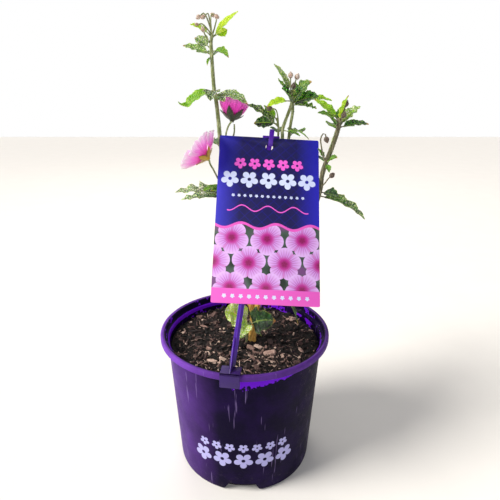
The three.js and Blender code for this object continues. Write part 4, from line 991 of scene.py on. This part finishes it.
# The column of joined stamens, with a tuft of small round anthers at its top
def stamenColumn(flower, seed):
    make = flower["column"]
    draw = random.Random(seed)
    bm = newMesh()
    lift = Matrix.Translation((0, 0, make["start"] + make["height"] / 2))
    bmesh.ops.create_cone(bm, cap_ends=True, segments=14, radius1=1, radius2=0.6, depth=make["height"], matrix=lift)
    for k in range(26):
        angle = k * 2.4
        out = 0.9 * math.sqrt((k % 13 + 0.5) / 13)
        height = make["start"] + make["height"] - 1.7 + 0.085 * k + draw.uniform(-0.2, 0.2)
        spot = Matrix.Translation((out * math.cos(angle), out * math.sin(angle), min(height, make["start"] + make["height"] + 0.6)))
        bmesh.ops.create_icosphere(bm, subdivisions=1, radius=draw.uniform(0.28, 0.4), matrix=spot)
    bmesh.ops.transform(bm, matrix=flowerPlace(flower), verts=bm.verts)
    return bm


# Buds, hairs and stem of one leafy shoot share a mesh, with a material slot for each tissue
def shootWithDown(route, start, end, r0, r1, hairs, seed, sides=14, steps=70):
    bm = shoot(route, start, end, r0, r1, sides, steps, 0.1, seed)
    addHairs(bm, bm.verts[:], hairs, 0.9, seed)
    return bm


leaf = downyLeaf()
paleShoot = downyShoot("downy yellow-green shoot", "#84904a", "#41482e", "#c4cba0")
brownShoot = downyShoot("downy olive-brown shoot", "#5e5634", "#343a26", "#a09a78")
paleBud = budSkin("pale downy bud skin", "#a08c74", "#a8767c", "#f4ece6")
darkBud = budSkin("dark downy bud skin", "#39331f", "#5a3236", "#8f7d6c")
oliveCalyx = budSkin("olive calyx", "#b8921a", "#701410", "#d2bc5a")
darkCalyx = budSkin("dark green calyx", "#1f2c0e", "#36121a", "#4f6030")


def makeStemLeft():
    whole = newMesh()
    left = routeOf(leftRoute)
    addTo(whole, shootWithDown(left, armEnd["left"], 1, 2.3, 1.35, 900, 11), 0)
    addTo(whole, shootWithDown(routeOf(flowerLeft["stalk"]), 0, 1, 0.75, 0.7, 160, 12, 8, 20), 0)
    addTo(whole, shootWithDown(routeOf(flowerMiddle["stalk"]), 0, 1, 0.75, 0.7, 120, 13, 8, 20), 0)
    addTo(whole, shootWithDown(routeOf(spentStalk), 0, 1, 0.9, 0.6, 100, 14, 8, 16), 0)
    addCalyx(whole, flowerLeft, 3, 21)
    addCalyx(whole, flowerMiddle, 4, 31)
    addLeaves(whole, left, leftLeaves, 100)
    for k, points in enumerate(leftBuds):
        addBud(whole, points, 200 + k, size=0.8)
    materials = [paleShoot, leaf, paleBud, oliveCalyx, darkCalyx]
    return finishPiece("left_shoot", whole, materials, "stem_left", 1.2)


def makeStemCentre():
    whole = newMesh()
    centre, companion, side = routeOf(centreRoute), routeOf(companionRoute), routeOf(sideRoute)
    addTo(whole, shootWithDown(centre, armEnd["centre"], 1, 2, 1.25, 700, 15), 0)
    addTo(whole, shootWithDown(companion, 0, 1, 1.4, 1.2, 250, 16, 10, 30), 0)
    addTo(whole, shootWithDown(side, 0, 1, 1.1, 0.8, 200, 17, 10, 30), 0)
    addLeaves(whole, centre, centreLeaves, 300)
    addLeaves(whole, companion, companionLeaves, 330, 0.6)
    addLeaves(whole, side, sideLeaves, 340, 0.4)
    for k, points in enumerate(centreBuds + sideBuds):
        addBud(whole, points, 400 + k, 0, 2 if k < 2 else 3)
    return finishPiece("centre_shoot", whole, [paleShoot, leaf, paleBud, darkBud], "stem_centre", 1.2)


def makeStemRight():
    whole = newMesh()
    right = routeOf(rightRoute)
    addTo(whole, shootWithDown(right, armEnd["right"], 1, 2.1, 1.9, 800, 18), 0)
    addLeaves(whole, right, rightLeaves, 500)
    for k, points in enumerate(rightBuds):
        addBud(whole, points, 600 + k)
    return finishPiece("right_shoot", whole, [brownShoot, leaf, darkBud], "stem_right", 1.2)


def makeStemLow():
    whole = newMesh()
    low = routeOf(lowRoute)
    addTo(whole, shootWithDown(low, 0, 1, 1, 0.8, 100, 19, 10, 20), 0)
    addLeaves(whole, low, lowLeaves, 700, 0.3)
    return finishPiece("low_shoot", whole, [paleShoot, leaf], "stem_low", 1.2)


def makeTrunk():
    whole = newMesh()
    addTo(whole, shoot(routeOf(footRoute), 0, 1, 3.4, 2.9, 20, 40, 0.16, 3))
    addTo(whole, shoot(routeOf(leftRoute), 0, armEnd["left"], 2.5, 2.3, 16, 18, 0.1, 4))
    addTo(whole, shoot(routeOf(centreRoute), 0, armEnd["centre"], 2.3, 2, 16, 18, 0.1, 5))
    addTo(whole, shoot(routeOf(rightRoute), 0, armEnd["right"], 2.4, 2.1, 16, 18, 0.1, 6))
    return finishPiece("woody_foot", whole, [youngBark()], "trunk")


def makeFlowers():
    pale = {
        "stops": [(0.0, "#b01074"), (0.25, "#f242b4"), (0.52, "#fa88da"), (0.8, "#fdc0ec"), (1.0, "#feeaf9")],
        "ray": "#d02a9c",
        "rayShare": 0.75,
    }
    deep = {
        "stops": [(0.0, "#860e58"), (0.3, "#e02ea8"), (0.7, "#fb4ac8"), (1.0, "#fd88da")],
        "ray": "#8a0c5c",
        "rayShare": 0.8,
    }
    column = budSkin("pale stamen column", "#e6cfe0", "#c86aa8", "#f7eef4")
    pieces = (("left", flowerLeft, pale, 0.4), ("middle", flowerMiddle, deep, 0.35))
    for side, flower, look, frill in pieces:
        petal = silkyPetal(side + " silky petal", look)
        finishPiece(side + "_petals", petalRing(flower, frill), [petal], "petals_" + side, 1.2)
        finishPiece(side + "_stamens", stamenColumn(flower, 5), [column], "column_" + side)


makeStemLeft()
makeStemCentre()
makeStemRight()
makeStemLow()
makeTrunk()
makeFlowers()
print("plant ready")

pot = {
    "height": 120, "rimRadius": 70, "rimInner": 66, "rimBand": 5, "wallTop": 64.2, "footRadius": 57.6,
    "wall": 1.3, "floor": 2.6, "recesses": 4, "recessFoot": 33, "recessRoof": 21, "recessHeight": 8.5,
    "recessInner": 43, "segments": 144,
}


# Turns a closed profile of radius and height about the Z axis
def turned(profile, segments):
    bm = newMesh()
    verts = [bm.verts.new((r, 0, z)) for r, z in profile]
    edges = [bm.edges.new(pair) for pair in zip(verts, verts[1:])]
    if profile[0][0] > 0:
        edges.append(bm.edges.new((verts[-1], verts[0])))
    bmesh.ops.spin(bm, geom=verts + edges, cent=(0, 0, 0), axis=(0, 0, 1), angle=math.tau, steps=segments, use_merge=True)
    bmesh.ops.remove_doubles(bm, verts=bm.verts, dist=0.001)
    bmesh.ops.recalc_face_normals(bm, faces=bm.faces)
    return bm


# The drainage recesses at the foot, with their sides grown by a margin
def recessBlocks(grow):
    whole = newMesh()
    for k in range(pot["recesses"]):
        bm = newMesh()
        bmesh.ops.create_cube(bm, size=1)
        for vert in bm.verts:
            top = vert.co.z > 0
            half = (pot["recessRoof"] if top else pot["recessFoot"]) / 2 + grow
            height = pot["recessHeight"] + grow if top else -2
            depth = -pot["recessInner"] + grow if vert.co.y > 0 else -pot["recessInner"] - 22
            vert.co = (math.copysign(half, vert.co.x), depth, height)
        turn = Matrix.Rotation(math.radians(-2.2) + k * math.tau / pot["recesses"], 4, "Z")
        bmesh.ops.transform(bm, matrix=turn, verts=bm.verts)
        addTo(whole, bm)
    return whole


def asObject(bm):
    mesh = bpy.data.meshes.new("tool")
    bm.to_mesh(mesh)
    bm.free()
    made = bpy.data.objects.new("tool", mesh)
    bpy.context.scene.collection.objects.link(made)
    return made


# Joins or cuts one solid with another, and gives the result back as a bmesh
def combine(a, b, operation):
    first, second = asObject(a), asObject(b)
    modifier = first.modifiers.new("combine", "BOOLEAN")
    modifier.operation = operation
    modifier.solver = "EXACT"
    modifier.object = second
    bpy.context.view_layer.update()
    mesh = bpy.data.meshes.new_from_object(first.evaluated_get(bpy.context.evaluated_depsgraph_get()))
    result = newMesh()
    result.from_mesh(mesh)
    bpy.data.objects.remove(first)
    bpy.data.objects.remove(second)
    bpy.data.meshes.remove(mesh)
    return result


def makePot():
    shoulder = pot["height"] - pot["rimBand"]
    foot, wall, rim, inner = pot["footRadius"], pot["wallTop"], pot["rimRadius"], pot["rimInner"]
    outside = [(0, 0), (foot - 2.4, 0), (foot - 1.2, 0.5), (foot - 0.3, 1.4), (foot, 2.6)]
    for share in (0.06, 0.2, 0.4, 0.6, 0.8):
        outside.append((lerp(foot, wall, share), lerp(2.6, shoulder - 0.6, share)))
    outside += [(wall, shoulder - 0.6), (wall + 0.5, shoulder - 0.15), (rim - 0.5, shoulder), (rim, shoulder + 0.5)]
    outside += [(rim, 118.6), (rim - 0.2, 119.3), (rim - 0.8, 119.85), (rim - 1.6, 120), (rim - 2.4, 119.5)]
    inside = [(inner + 0.7, 119.4), (inner + 0.2, 119.1), (inner, 118.4), (inner - 0.4, shoulder + 0.7)]
    inside += [(wall - 1.0, shoulder - 1.2), (wall - 1.3, shoulder - 3), (foot - 1.3, 4.6), (foot - 3.3, 2.6), (0, 2.6)]
    shell = turned(outside + inside, pot["segments"])
    whole = turned(outside + [(0, 120)], pot["segments"])
    lining = combine(recessBlocks(pot["wall"]), whole, "INTERSECT")
    body = combine(combine(shell, lining, "UNION"), recessBlocks(0), "DIFFERENCE")
    bmesh.ops.remove_doubles(body, verts=body.verts, dist=0.002)
    return finishPiece("violet_pot", body, [pottedPolypropylene()], "pot", 0.6)


mix = {"level": 108, "relief": 1.3, "chips": 32, "smallChips": 900, "crumbs": 1500, "fibres": 420, "radius": 62}
holes = [(6.3, -2.7, 4.2), (1.5, -5.7, 1.6)]


# Height of the mix's uneven top
def mixHeight(x, y):
    slow = math.sin(0.11 * x + 1.3) * math.cos(0.13 * y - 0.4)
    quick = math.sin(0.47 * x - 0.38 * y) * math.cos(0.41 * y + 0.9)
    return mix["level"] + mix["relief"] * (0.6 * slow + 0.4 * quick)


# Painted light: how much paler the mix is painted along its lit front edge, less so towards the right
def paintedFrontLight(x, y):
    return 0.2 * smoothStep(5, -38, y) * (1 - 0.6 * smoothStep(10, 50, x))


# The same seeded draw that places the large chips in the solid model
def sameDraw(seed):
    state = [seed]

    def draw():
        state[0] = (state[0] * 1664525 + 1013904223) % 4294967296
        return state[0] / 4294967296
    return draw


# A torn chip of bark: a subdivided block, pinched towards its ends, with its corners pushed about
def addChip(whole, size, place, turn, shade, seed):
    bm = newMesh()
    bmesh.ops.create_cube(bm, size=1)
    bmesh.ops.subdivide_edges(bm, edges=bm.edges[:], cuts=1, use_grid_fill=True)
    for vert in bm.verts:
        vert.co += Vector((noise.noise(vert.co * 1.7 + Vector((seed, 0, 0))),
                           noise.noise(vert.co * 1.7 + Vector((0, seed, 5))),
                           noise.noise(vert.co * 1.7 + Vector((3, 0, seed))))) * 0.34
        pinch = 1 - (0.25 + 0.5 * (seed % 3) / 2) * abs(vert.co.x) ** 1.5
        vert.co.y *= pinch
        vert.co.z *= pinch
    bmesh.ops.scale(bm, vec=size, verts=bm.verts)
    bmesh.ops.transform(bm, matrix=Matrix.Translation(place) @ turn.to_matrix().to_4x4(), verts=bm.verts)
    addTo(whole, bm, 1, (shade, 0, 0))


def makeMix():
    draw = random.Random(12)
    wallRadius = mix["radius"]
    profile = [(0, 2.9), (52, 2.9), (56, 5.4), (61.6, 105), (wallRadius, 107)]
    rings = 46
    profile += [(wallRadius * (1 - k / rings), mix["level"]) for k in range(1, rings + 1)]
    whole = turned(profile, 110)
    for vert in whole.verts:
        if vert.co.z > 107.5:
            x, y = vert.co.x, vert.co.y
            rough = 1.4 * noise.noise(Vector((x * 0.21, y * 0.21, 0))) + 0.9 * noise.noise(Vector((x * 0.6, y * 0.6, 4)))
            vert.co.z = mixHeight(x, y) + rough * smoothStep(0, 6, wallRadius - math.hypot(x, y))
    same = sameDraw(41)
    for k in range(mix["chips"]):
        distance = 54 * math.sqrt((k + 0.5) / mix["chips"])
        angle = k * 2.39996 + same() * 0.6
        length = 3.5 + 5 * same() ** 2
        width, depth = length * (0.35 + 0.3 * same()), 1.2 + 1.2 * same()
        tips = [0.5 * (same() - 0.5), 0.5 * (same() - 0.5), same() * math.pi]
        x, y = distance * math.cos(angle), distance * math.sin(angle)
        if all(math.hypot(x - hx, y - hy) >= r + 5 for hx, hy, r in holes):
            turn = Quaternion((0, 0, 1), tips[2]) @ Quaternion((0, 1, 0), tips[1]) @ Quaternion((1, 0, 0), tips[0])
            place = (x, y, mixHeight(x, y) + 0.5)
            addChip(whole, (length * 1.15, width * 1.15, depth * 1.2), place, turn, draw.uniform(0.5, 0.85) + paintedFrontLight(x, y), k)
    for k in range(mix["smallChips"]):
        distance = 60.5 * math.sqrt((k + 0.5) / mix["smallChips"])
        angle = k * 2.39996 * 1.7 + draw.random()
        x, y = distance * math.cos(angle), distance * math.sin(angle)
        if any(math.hypot(x - hx, y - hy) < r + 0.6 for hx, hy, r in holes):
            continue
        length = draw.uniform(1.6, 4.2) if k % 4 else draw.uniform(3.5, 7.5)
        size = (length, length * draw.uniform(0.18, 0.55), length * draw.uniform(0.12, 0.35))
        turn = Quaternion((0, 0, 1), draw.random() * math.tau) @ Quaternion((1, 0, 0), draw.gauss(0, 0.6))
        turn = turn @ Quaternion((0, 1, 0), draw.gauss(0, 0.4))
        shade = clamp(draw.gauss(0.36, 0.28) + paintedFrontLight(x, y), 0, 1)
        addChip(whole, size, (x, y, mixHeight(x, y) + size[2] * 0.35), turn, shade, 50 + k)
    addCrumbs(whole, draw)
    addFibres(whole, draw)
    return finishPiece("bark_mix", whole, [compost(), barkChips()], "potting_mix", 0.9)


# Fine crumbs between the chips, with a few pale grains of slow plant food
def addCrumbs(whole, draw):
    bm = newMesh()
    tint = bm.verts.layers.float_vector["tint"]
    for k in range(mix["crumbs"]):
        distance = 61 * math.sqrt(draw.random())
        angle = draw.random() * math.tau
        x, y = distance * math.cos(angle), distance * math.sin(angle)
        grain = k % 60 == 0
        radius = 1.1 if grain else draw.uniform(0.35, 1.0)
        stretch = Matrix.Diagonal((1, 1, 1, 1) if grain else (draw.uniform(0.7, 1.9), 1, draw.uniform(0.5, 1), 1))
        turn = Matrix.Rotation(draw.random() * math.tau, 4, "Z")
        place = Matrix.Translation((x, y, mixHeight(x, y) + radius * 0.5)) @ turn @ stretch
        made = bmesh.ops.create_icosphere(bm, subdivisions=1, radius=radius, matrix=place)
        shade = (1.15, 0, 0) if grain else (clamp(draw.gauss(0.28, 0.25) + paintedFrontLight(x, y), 0, 0.95), 0, 0)
        for vert in made["verts"]:
            vert[tint] = shade
    addTo(whole, bm, 1)


# Shredded fibres: slim pointed splinters that lie over one another
def addFibres(whole, draw):
    bm = newMesh()
    tint = bm.verts.layers.float_vector["tint"]
    for k in range(mix["fibres"]):
        distance = 60 * math.sqrt(draw.random())
        angle = draw.random() * math.tau
        x, y = distance * math.cos(angle), distance * math.sin(angle)
        length = draw.uniform(3, 9)
        way = Vector((draw.uniform(-1, 1), draw.uniform(-1, 1), draw.gauss(0, 0.22))).normalized()
        turn = way.to_track_quat("Z", "Y").to_matrix().to_4x4()
        place = Matrix.Translation((x, y, mixHeight(x, y) + draw.uniform(0.4, 1.4))) @ turn
        width = draw.uniform(0.14, 0.4)
        made = bmesh.ops.create_cone(bm, cap_ends=True, segments=5, radius1=width, radius2=0.1, depth=length, matrix=place)
        shade = clamp(draw.gauss(0.5, 0.25) + paintedFrontLight(x, y), 0, 1)
        for vert in made["verts"]:
            vert[tint] = (shade, 0, 0)
    addTo(whole, bm, 1)


makePot()
makeMix()
print("pot and mix ready")

card = {
    "width": 81.3, "length": 137.7, "thickness": 0.7, "corner": 1.2, "holeHeight": 60.5, "holeRadius": 3,
    "lean": 35, "yaw": 3.3, "roll": 4, "centre": (17.9, 4, 214.2),
}
stake = {
    "width": 4.4, "thickness": 1.6, "foot": (-22.9, -116.4), "top": (1.2, 70.4), "bow": 1.2, "clearance": 0.3,
    "clipWidth": 14.4, "clipDepth": 11, "clipHeight": 11, "clipWall": 1.6, "clipTurn": -8.5, "round": 0.3,
}


# From the card's own frame, x across, y to the back, z along its length, to the plant's frame
def cardPlace():
    lean = Matrix.Rotation(math.radians(-card["lean"]), 4, "X")
    roll = Matrix.Rotation(math.radians(card["roll"]), 4, "Y")
    yaw = Matrix.Rotation(math.radians(card["yaw"]), 4, "Z")
    return Matrix.Translation(card["centre"]) @ yaw @ lean @ roll


def roundEdges(bm, width, segments=2, angle=0.5):
    edges = [e for e in bm.edges if e.is_manifold and e.calc_face_angle(0) > angle]
    bmesh.ops.bevel(bm, geom=edges, offset=width, segments=segments, profile=0.5, affect="EDGES",
                    material=-1, clamp_overlap=True)


def blockAt(size, centre, cuts=0):
    bm = newMesh()
    place = Matrix.Translation(centre) @ Matrix.Diagonal((*size, 1))
    bmesh.ops.create_cube(bm, size=1, matrix=place)
    if cuts:
        long = [e for e in bm.edges if abs(e.verts[0].co.z - e.verts[1].co.z) > size[2] * 0.9]
        bmesh.ops.subdivide_edges(bm, edges=long, cuts=cuts)
    return bm


def makeCard():
    bm = bmesh.new()
    sheet = bm.verts.layers.float_vector.new("sheet")
    bmesh.ops.create_grid(bm, x_segments=1, y_segments=1, size=0.5)
    bmesh.ops.scale(bm, vec=(card["width"], card["length"], 1), verts=bm.verts)
    bmesh.ops.bevel(bm, geom=bm.verts[:], offset=card["corner"], segments=5, profile=0.5, affect="VERTICES", material=-1)
    bmesh.ops.delete(bm, geom=bm.faces[:], context="FACES_ONLY")
    spot = Matrix.Translation((0, card["holeHeight"], 0))
    bmesh.ops.create_circle(bm, cap_ends=False, segments=32, radius=card["holeRadius"], matrix=spot)
    bmesh.ops.triangle_fill(bm, edges=bm.edges[:], use_beauty=True, use_dissolve=False)
    grown = bmesh.ops.extrude_face_region(bm, geom=bm.faces[:])["geom"]
    bmesh.ops.translate(bm, vec=(0, 0, card["thickness"]), verts=[g for g in grown if isinstance(g, bmesh.types.BMVert)])
    bmesh.ops.recalc_face_normals(bm, faces=bm.faces)
    roundEdges(bm, 0.12, 2, 1.2)
    for vert in bm.verts:
        vert[sheet] = vert.co
    bmesh.ops.rotate(bm, matrix=Matrix.Rotation(math.radians(90), 3, "X"), verts=bm.verts)
    bmesh.ops.translate(bm, vec=(0, card["thickness"], 0), verts=bm.verts)
    bmesh.ops.transform(bm, matrix=cardPlace(), verts=bm.verts)
    return finishPiece("printed_card", bm, [printedSheet()], "label_card", 0.5)


# A bent strip of even width: its side outline is filled, extruded to its breadth and rounded
def hookStrip(middle):
    line = [(middle, 69.6), (middle, 71.8), (middle - 0.6, 74), (0, 75.4), (-1.9, 75), (-3, 73), (-3.2, 70), (-2.8, 66),
            (-1.9, 63), (-0.4, 61.2)]
    smooth = [pointAt(routeOf([(0, y, z) for y, z in line]), k / 28) for k in range(29)]
    sides = [[], []]
    for k, point in enumerate(smooth):
        way = (smooth[min(k + 1, 28)] - smooth[max(k - 1, 0)]).normalized()
        out = Vector((0, -way.z, way.y)) * 0.8
        sides[0].append(point + out)
        sides[1].insert(0, point - out)
    bm = newMesh()
    loop = [bm.verts.new(p + Vector((-1.9, 0, 0))) for p in sides[0] + sides[1]]
    face = bm.faces.new(loop)
    grown = bmesh.ops.extrude_face_region(bm, geom=[face])["geom"]
    bmesh.ops.translate(bm, vec=(3.8, 0, 0), verts=[g for g in grown if isinstance(g, bmesh.types.BMVert)])
    for vert in bm.verts:
        vert.co.x += 0.7 + clamp((vert.co.z - 62) * 0.09, 0, 1.1)
    bmesh.ops.recalc_face_normals(bm, faces=bm.faces)
    roundEdges(bm, 0.35, 3, 1.0)
    return bm


# The clip over the rim: a deck, a plate outside, a short lip inside, and a fin up to the shaft
def addClip(whole):
    outer = pot["rimRadius"] + stake["clearance"] + stake["clipWall"]
    bottom = pot["height"] + stake["clearance"]
    inner = outer - stake["clipDepth"]
    lip = pot["rimInner"] - stake["clearance"] - 0.5
    width, wall = stake["clipWidth"], stake["clipWall"]
    blocks = (
        ((width, stake["clipDepth"], wall), (0, -(outer + inner) / 2, bottom + wall / 2)),
        ((width, wall, stake["clipHeight"]), (0, wall / 2 - outer, bottom + wall - stake["clipHeight"] / 2)),
        ((width - 3, 1.2, 3.8), (0, 0.6 - lip, bottom - 1.5)),
    )
    parts = [blockAt(*block) for block in blocks]
    fin = newMesh()
    outline = ((-outer + 0.4, bottom + 0.6), (-outer + 10, bottom + 0.6), (-outer + 22.5, bottom + 18.5), (-outer + 20.6, bottom + 18.5))
    face = fin.faces.new([fin.verts.new((-0.45, y, z)) for y, z in outline])
    grown = bmesh.ops.extrude_face_region(fin, geom=[face])["geom"]
    bmesh.ops.translate(fin, vec=(1.1, 0, 0), verts=[g for g in grown if isinstance(g, bmesh.types.BMVert)])
    bmesh.ops.recalc_face_normals(fin, faces=fin.faces)
    turn = Matrix.Rotation(math.radians(stake["clipTurn"]), 4, "Z")
    for bm in parts + [fin]:
        roundEdges(bm, stake["round"])
        bmesh.ops.transform(bm, matrix=turn, verts=bm.verts)
        addTo(whole, bm)


def makeStake():
    whole = newMesh()
    middle = card["thickness"] + stake["clearance"] + stake["thickness"] / 2
    foot, top = stake["foot"], stake["top"]
    shaft = blockAt((stake["width"], stake["thickness"], 1), (0, middle, 0), 24)
    for vert in shaft.verts:
        t = vert.co.z + 0.5
        vert.co.x += lerp(foot[0], top[0], t) - stake["bow"] * math.sin(math.pi * t)
        vert.co.z = lerp(foot[1], top[1], t)
    rib = blockAt((1.1, 1.1, 1), (0, middle - 1.2, 0), 24)
    for vert in rib.verts:
        t = vert.co.z * 0.4 + 0.2
        vert.co.x += lerp(foot[0], top[0], t) - stake["bow"] * math.sin(math.pi * t)
        vert.co.z = lerp(foot[1], top[1], t)
    bar = blockAt((14, stake["thickness"], 2.4), (1.5, middle, 70.3))
    for bm in (shaft, rib, bar):
        roundEdges(bm, stake["round"])
    for bm in (shaft, rib, bar, hookStrip(middle)):
        bmesh.ops.transform(bm, matrix=cardPlace(), verts=bm.verts)
        addTo(whole, bm)
    addClip(whole)
    return finishPiece("clip_stake", whole, [stakePolypropylene()], "label_stake", 0.6)


makeCard()
makeStake()
print("card and stake ready")

view = {"place": (0, -0.328, 0.3054), "pitch": 70.34, "focal": 440, "pixels": 500, "centreColumn": 244.7}


def makeCamera():
    data = bpy.data.cameras.new("front camera")
    data.sensor_width = 36
    data.lens = 36 * view["focal"] / view["pixels"]
    data.shift_x = (view["pixels"] / 2 - view["centreColumn"]) / view["pixels"]
    data.clip_start = 0.01
    camera = bpy.data.objects.new("front camera", data)
    camera.location = view["place"]
    camera.rotation_euler = (math.radians(view["pitch"]), 0, 0)
    bpy.context.scene.collection.objects.link(camera)
    bpy.context.scene.camera = camera


studio = {"floor": 3.0, "strength": 1.0, "horizon": "#ffffff", "middle": "#7c7c82", "top": "#34343a"}
key = {"place": (-1.0, -0.3, 1.0), "spread": 28, "power": 4.3, "colour": "#fffaf2"}
lamps = (
    ("front softbox", (0.1, -1.4, 0.9), 1.0, 4, "#ffffff"),
    ("rear top", (-0.2, 0.9, 1.3), 0.7, 6, "#fffaf0"),
)


def addLamp(name, kind, place, power, colour):
    data = bpy.data.lights.new(name, kind)
    data.energy = power
    data.color = linearColour(colour)[:3]
    lamp = bpy.data.objects.new(name, data)
    lamp.location = place
    lamp.rotation_euler = (Vector(place) - Vector((0, 0, 0.18))).to_track_quat("Z", "Y").to_euler()
    bpy.context.scene.collection.objects.link(lamp)
    return data


def makeStudio():
    bm = bmesh.new()
    bmesh.ops.create_grid(bm, x_segments=4, y_segments=4, size=studio["floor"])
    mesh = bpy.data.meshes.new("studio_floor")
    bm.to_mesh(mesh)
    bm.free()
    floor = bpy.data.objects.new("studio_floor", mesh)
    mesh.materials.append(studioFloor())
    bpy.context.scene.collection.objects.link(floor)
    world = bpy.data.worlds.new("studio air")
    world.use_nodes = True
    tree = world.node_tree
    height = addNode(tree, "SeparateXYZ", {}, {"Vector": addNode(tree, "TexCoord").outputs["Generated"]}).outputs[2]
    sky = rampOf(tree, height, [(0.25, studio["horizon"]), (0.62, studio["middle"]), (1.0, studio["top"])])
    background = tree.nodes["Background"]
    tree.links.new(sky, background.inputs["Color"])
    background.inputs["Strength"].default_value = studio["strength"]
    bpy.context.scene.world = world
    addLamp("soft key", "SUN", key["place"], key["power"], key["colour"]).angle = math.radians(key["spread"])
    for name, place, size, power, colour in lamps:
        addLamp(name, "AREA", place, power, colour).size = size


makeCamera()
makeStudio()
bpy.context.scene.view_settings.view_transform = "Standard"
print("studio ready")
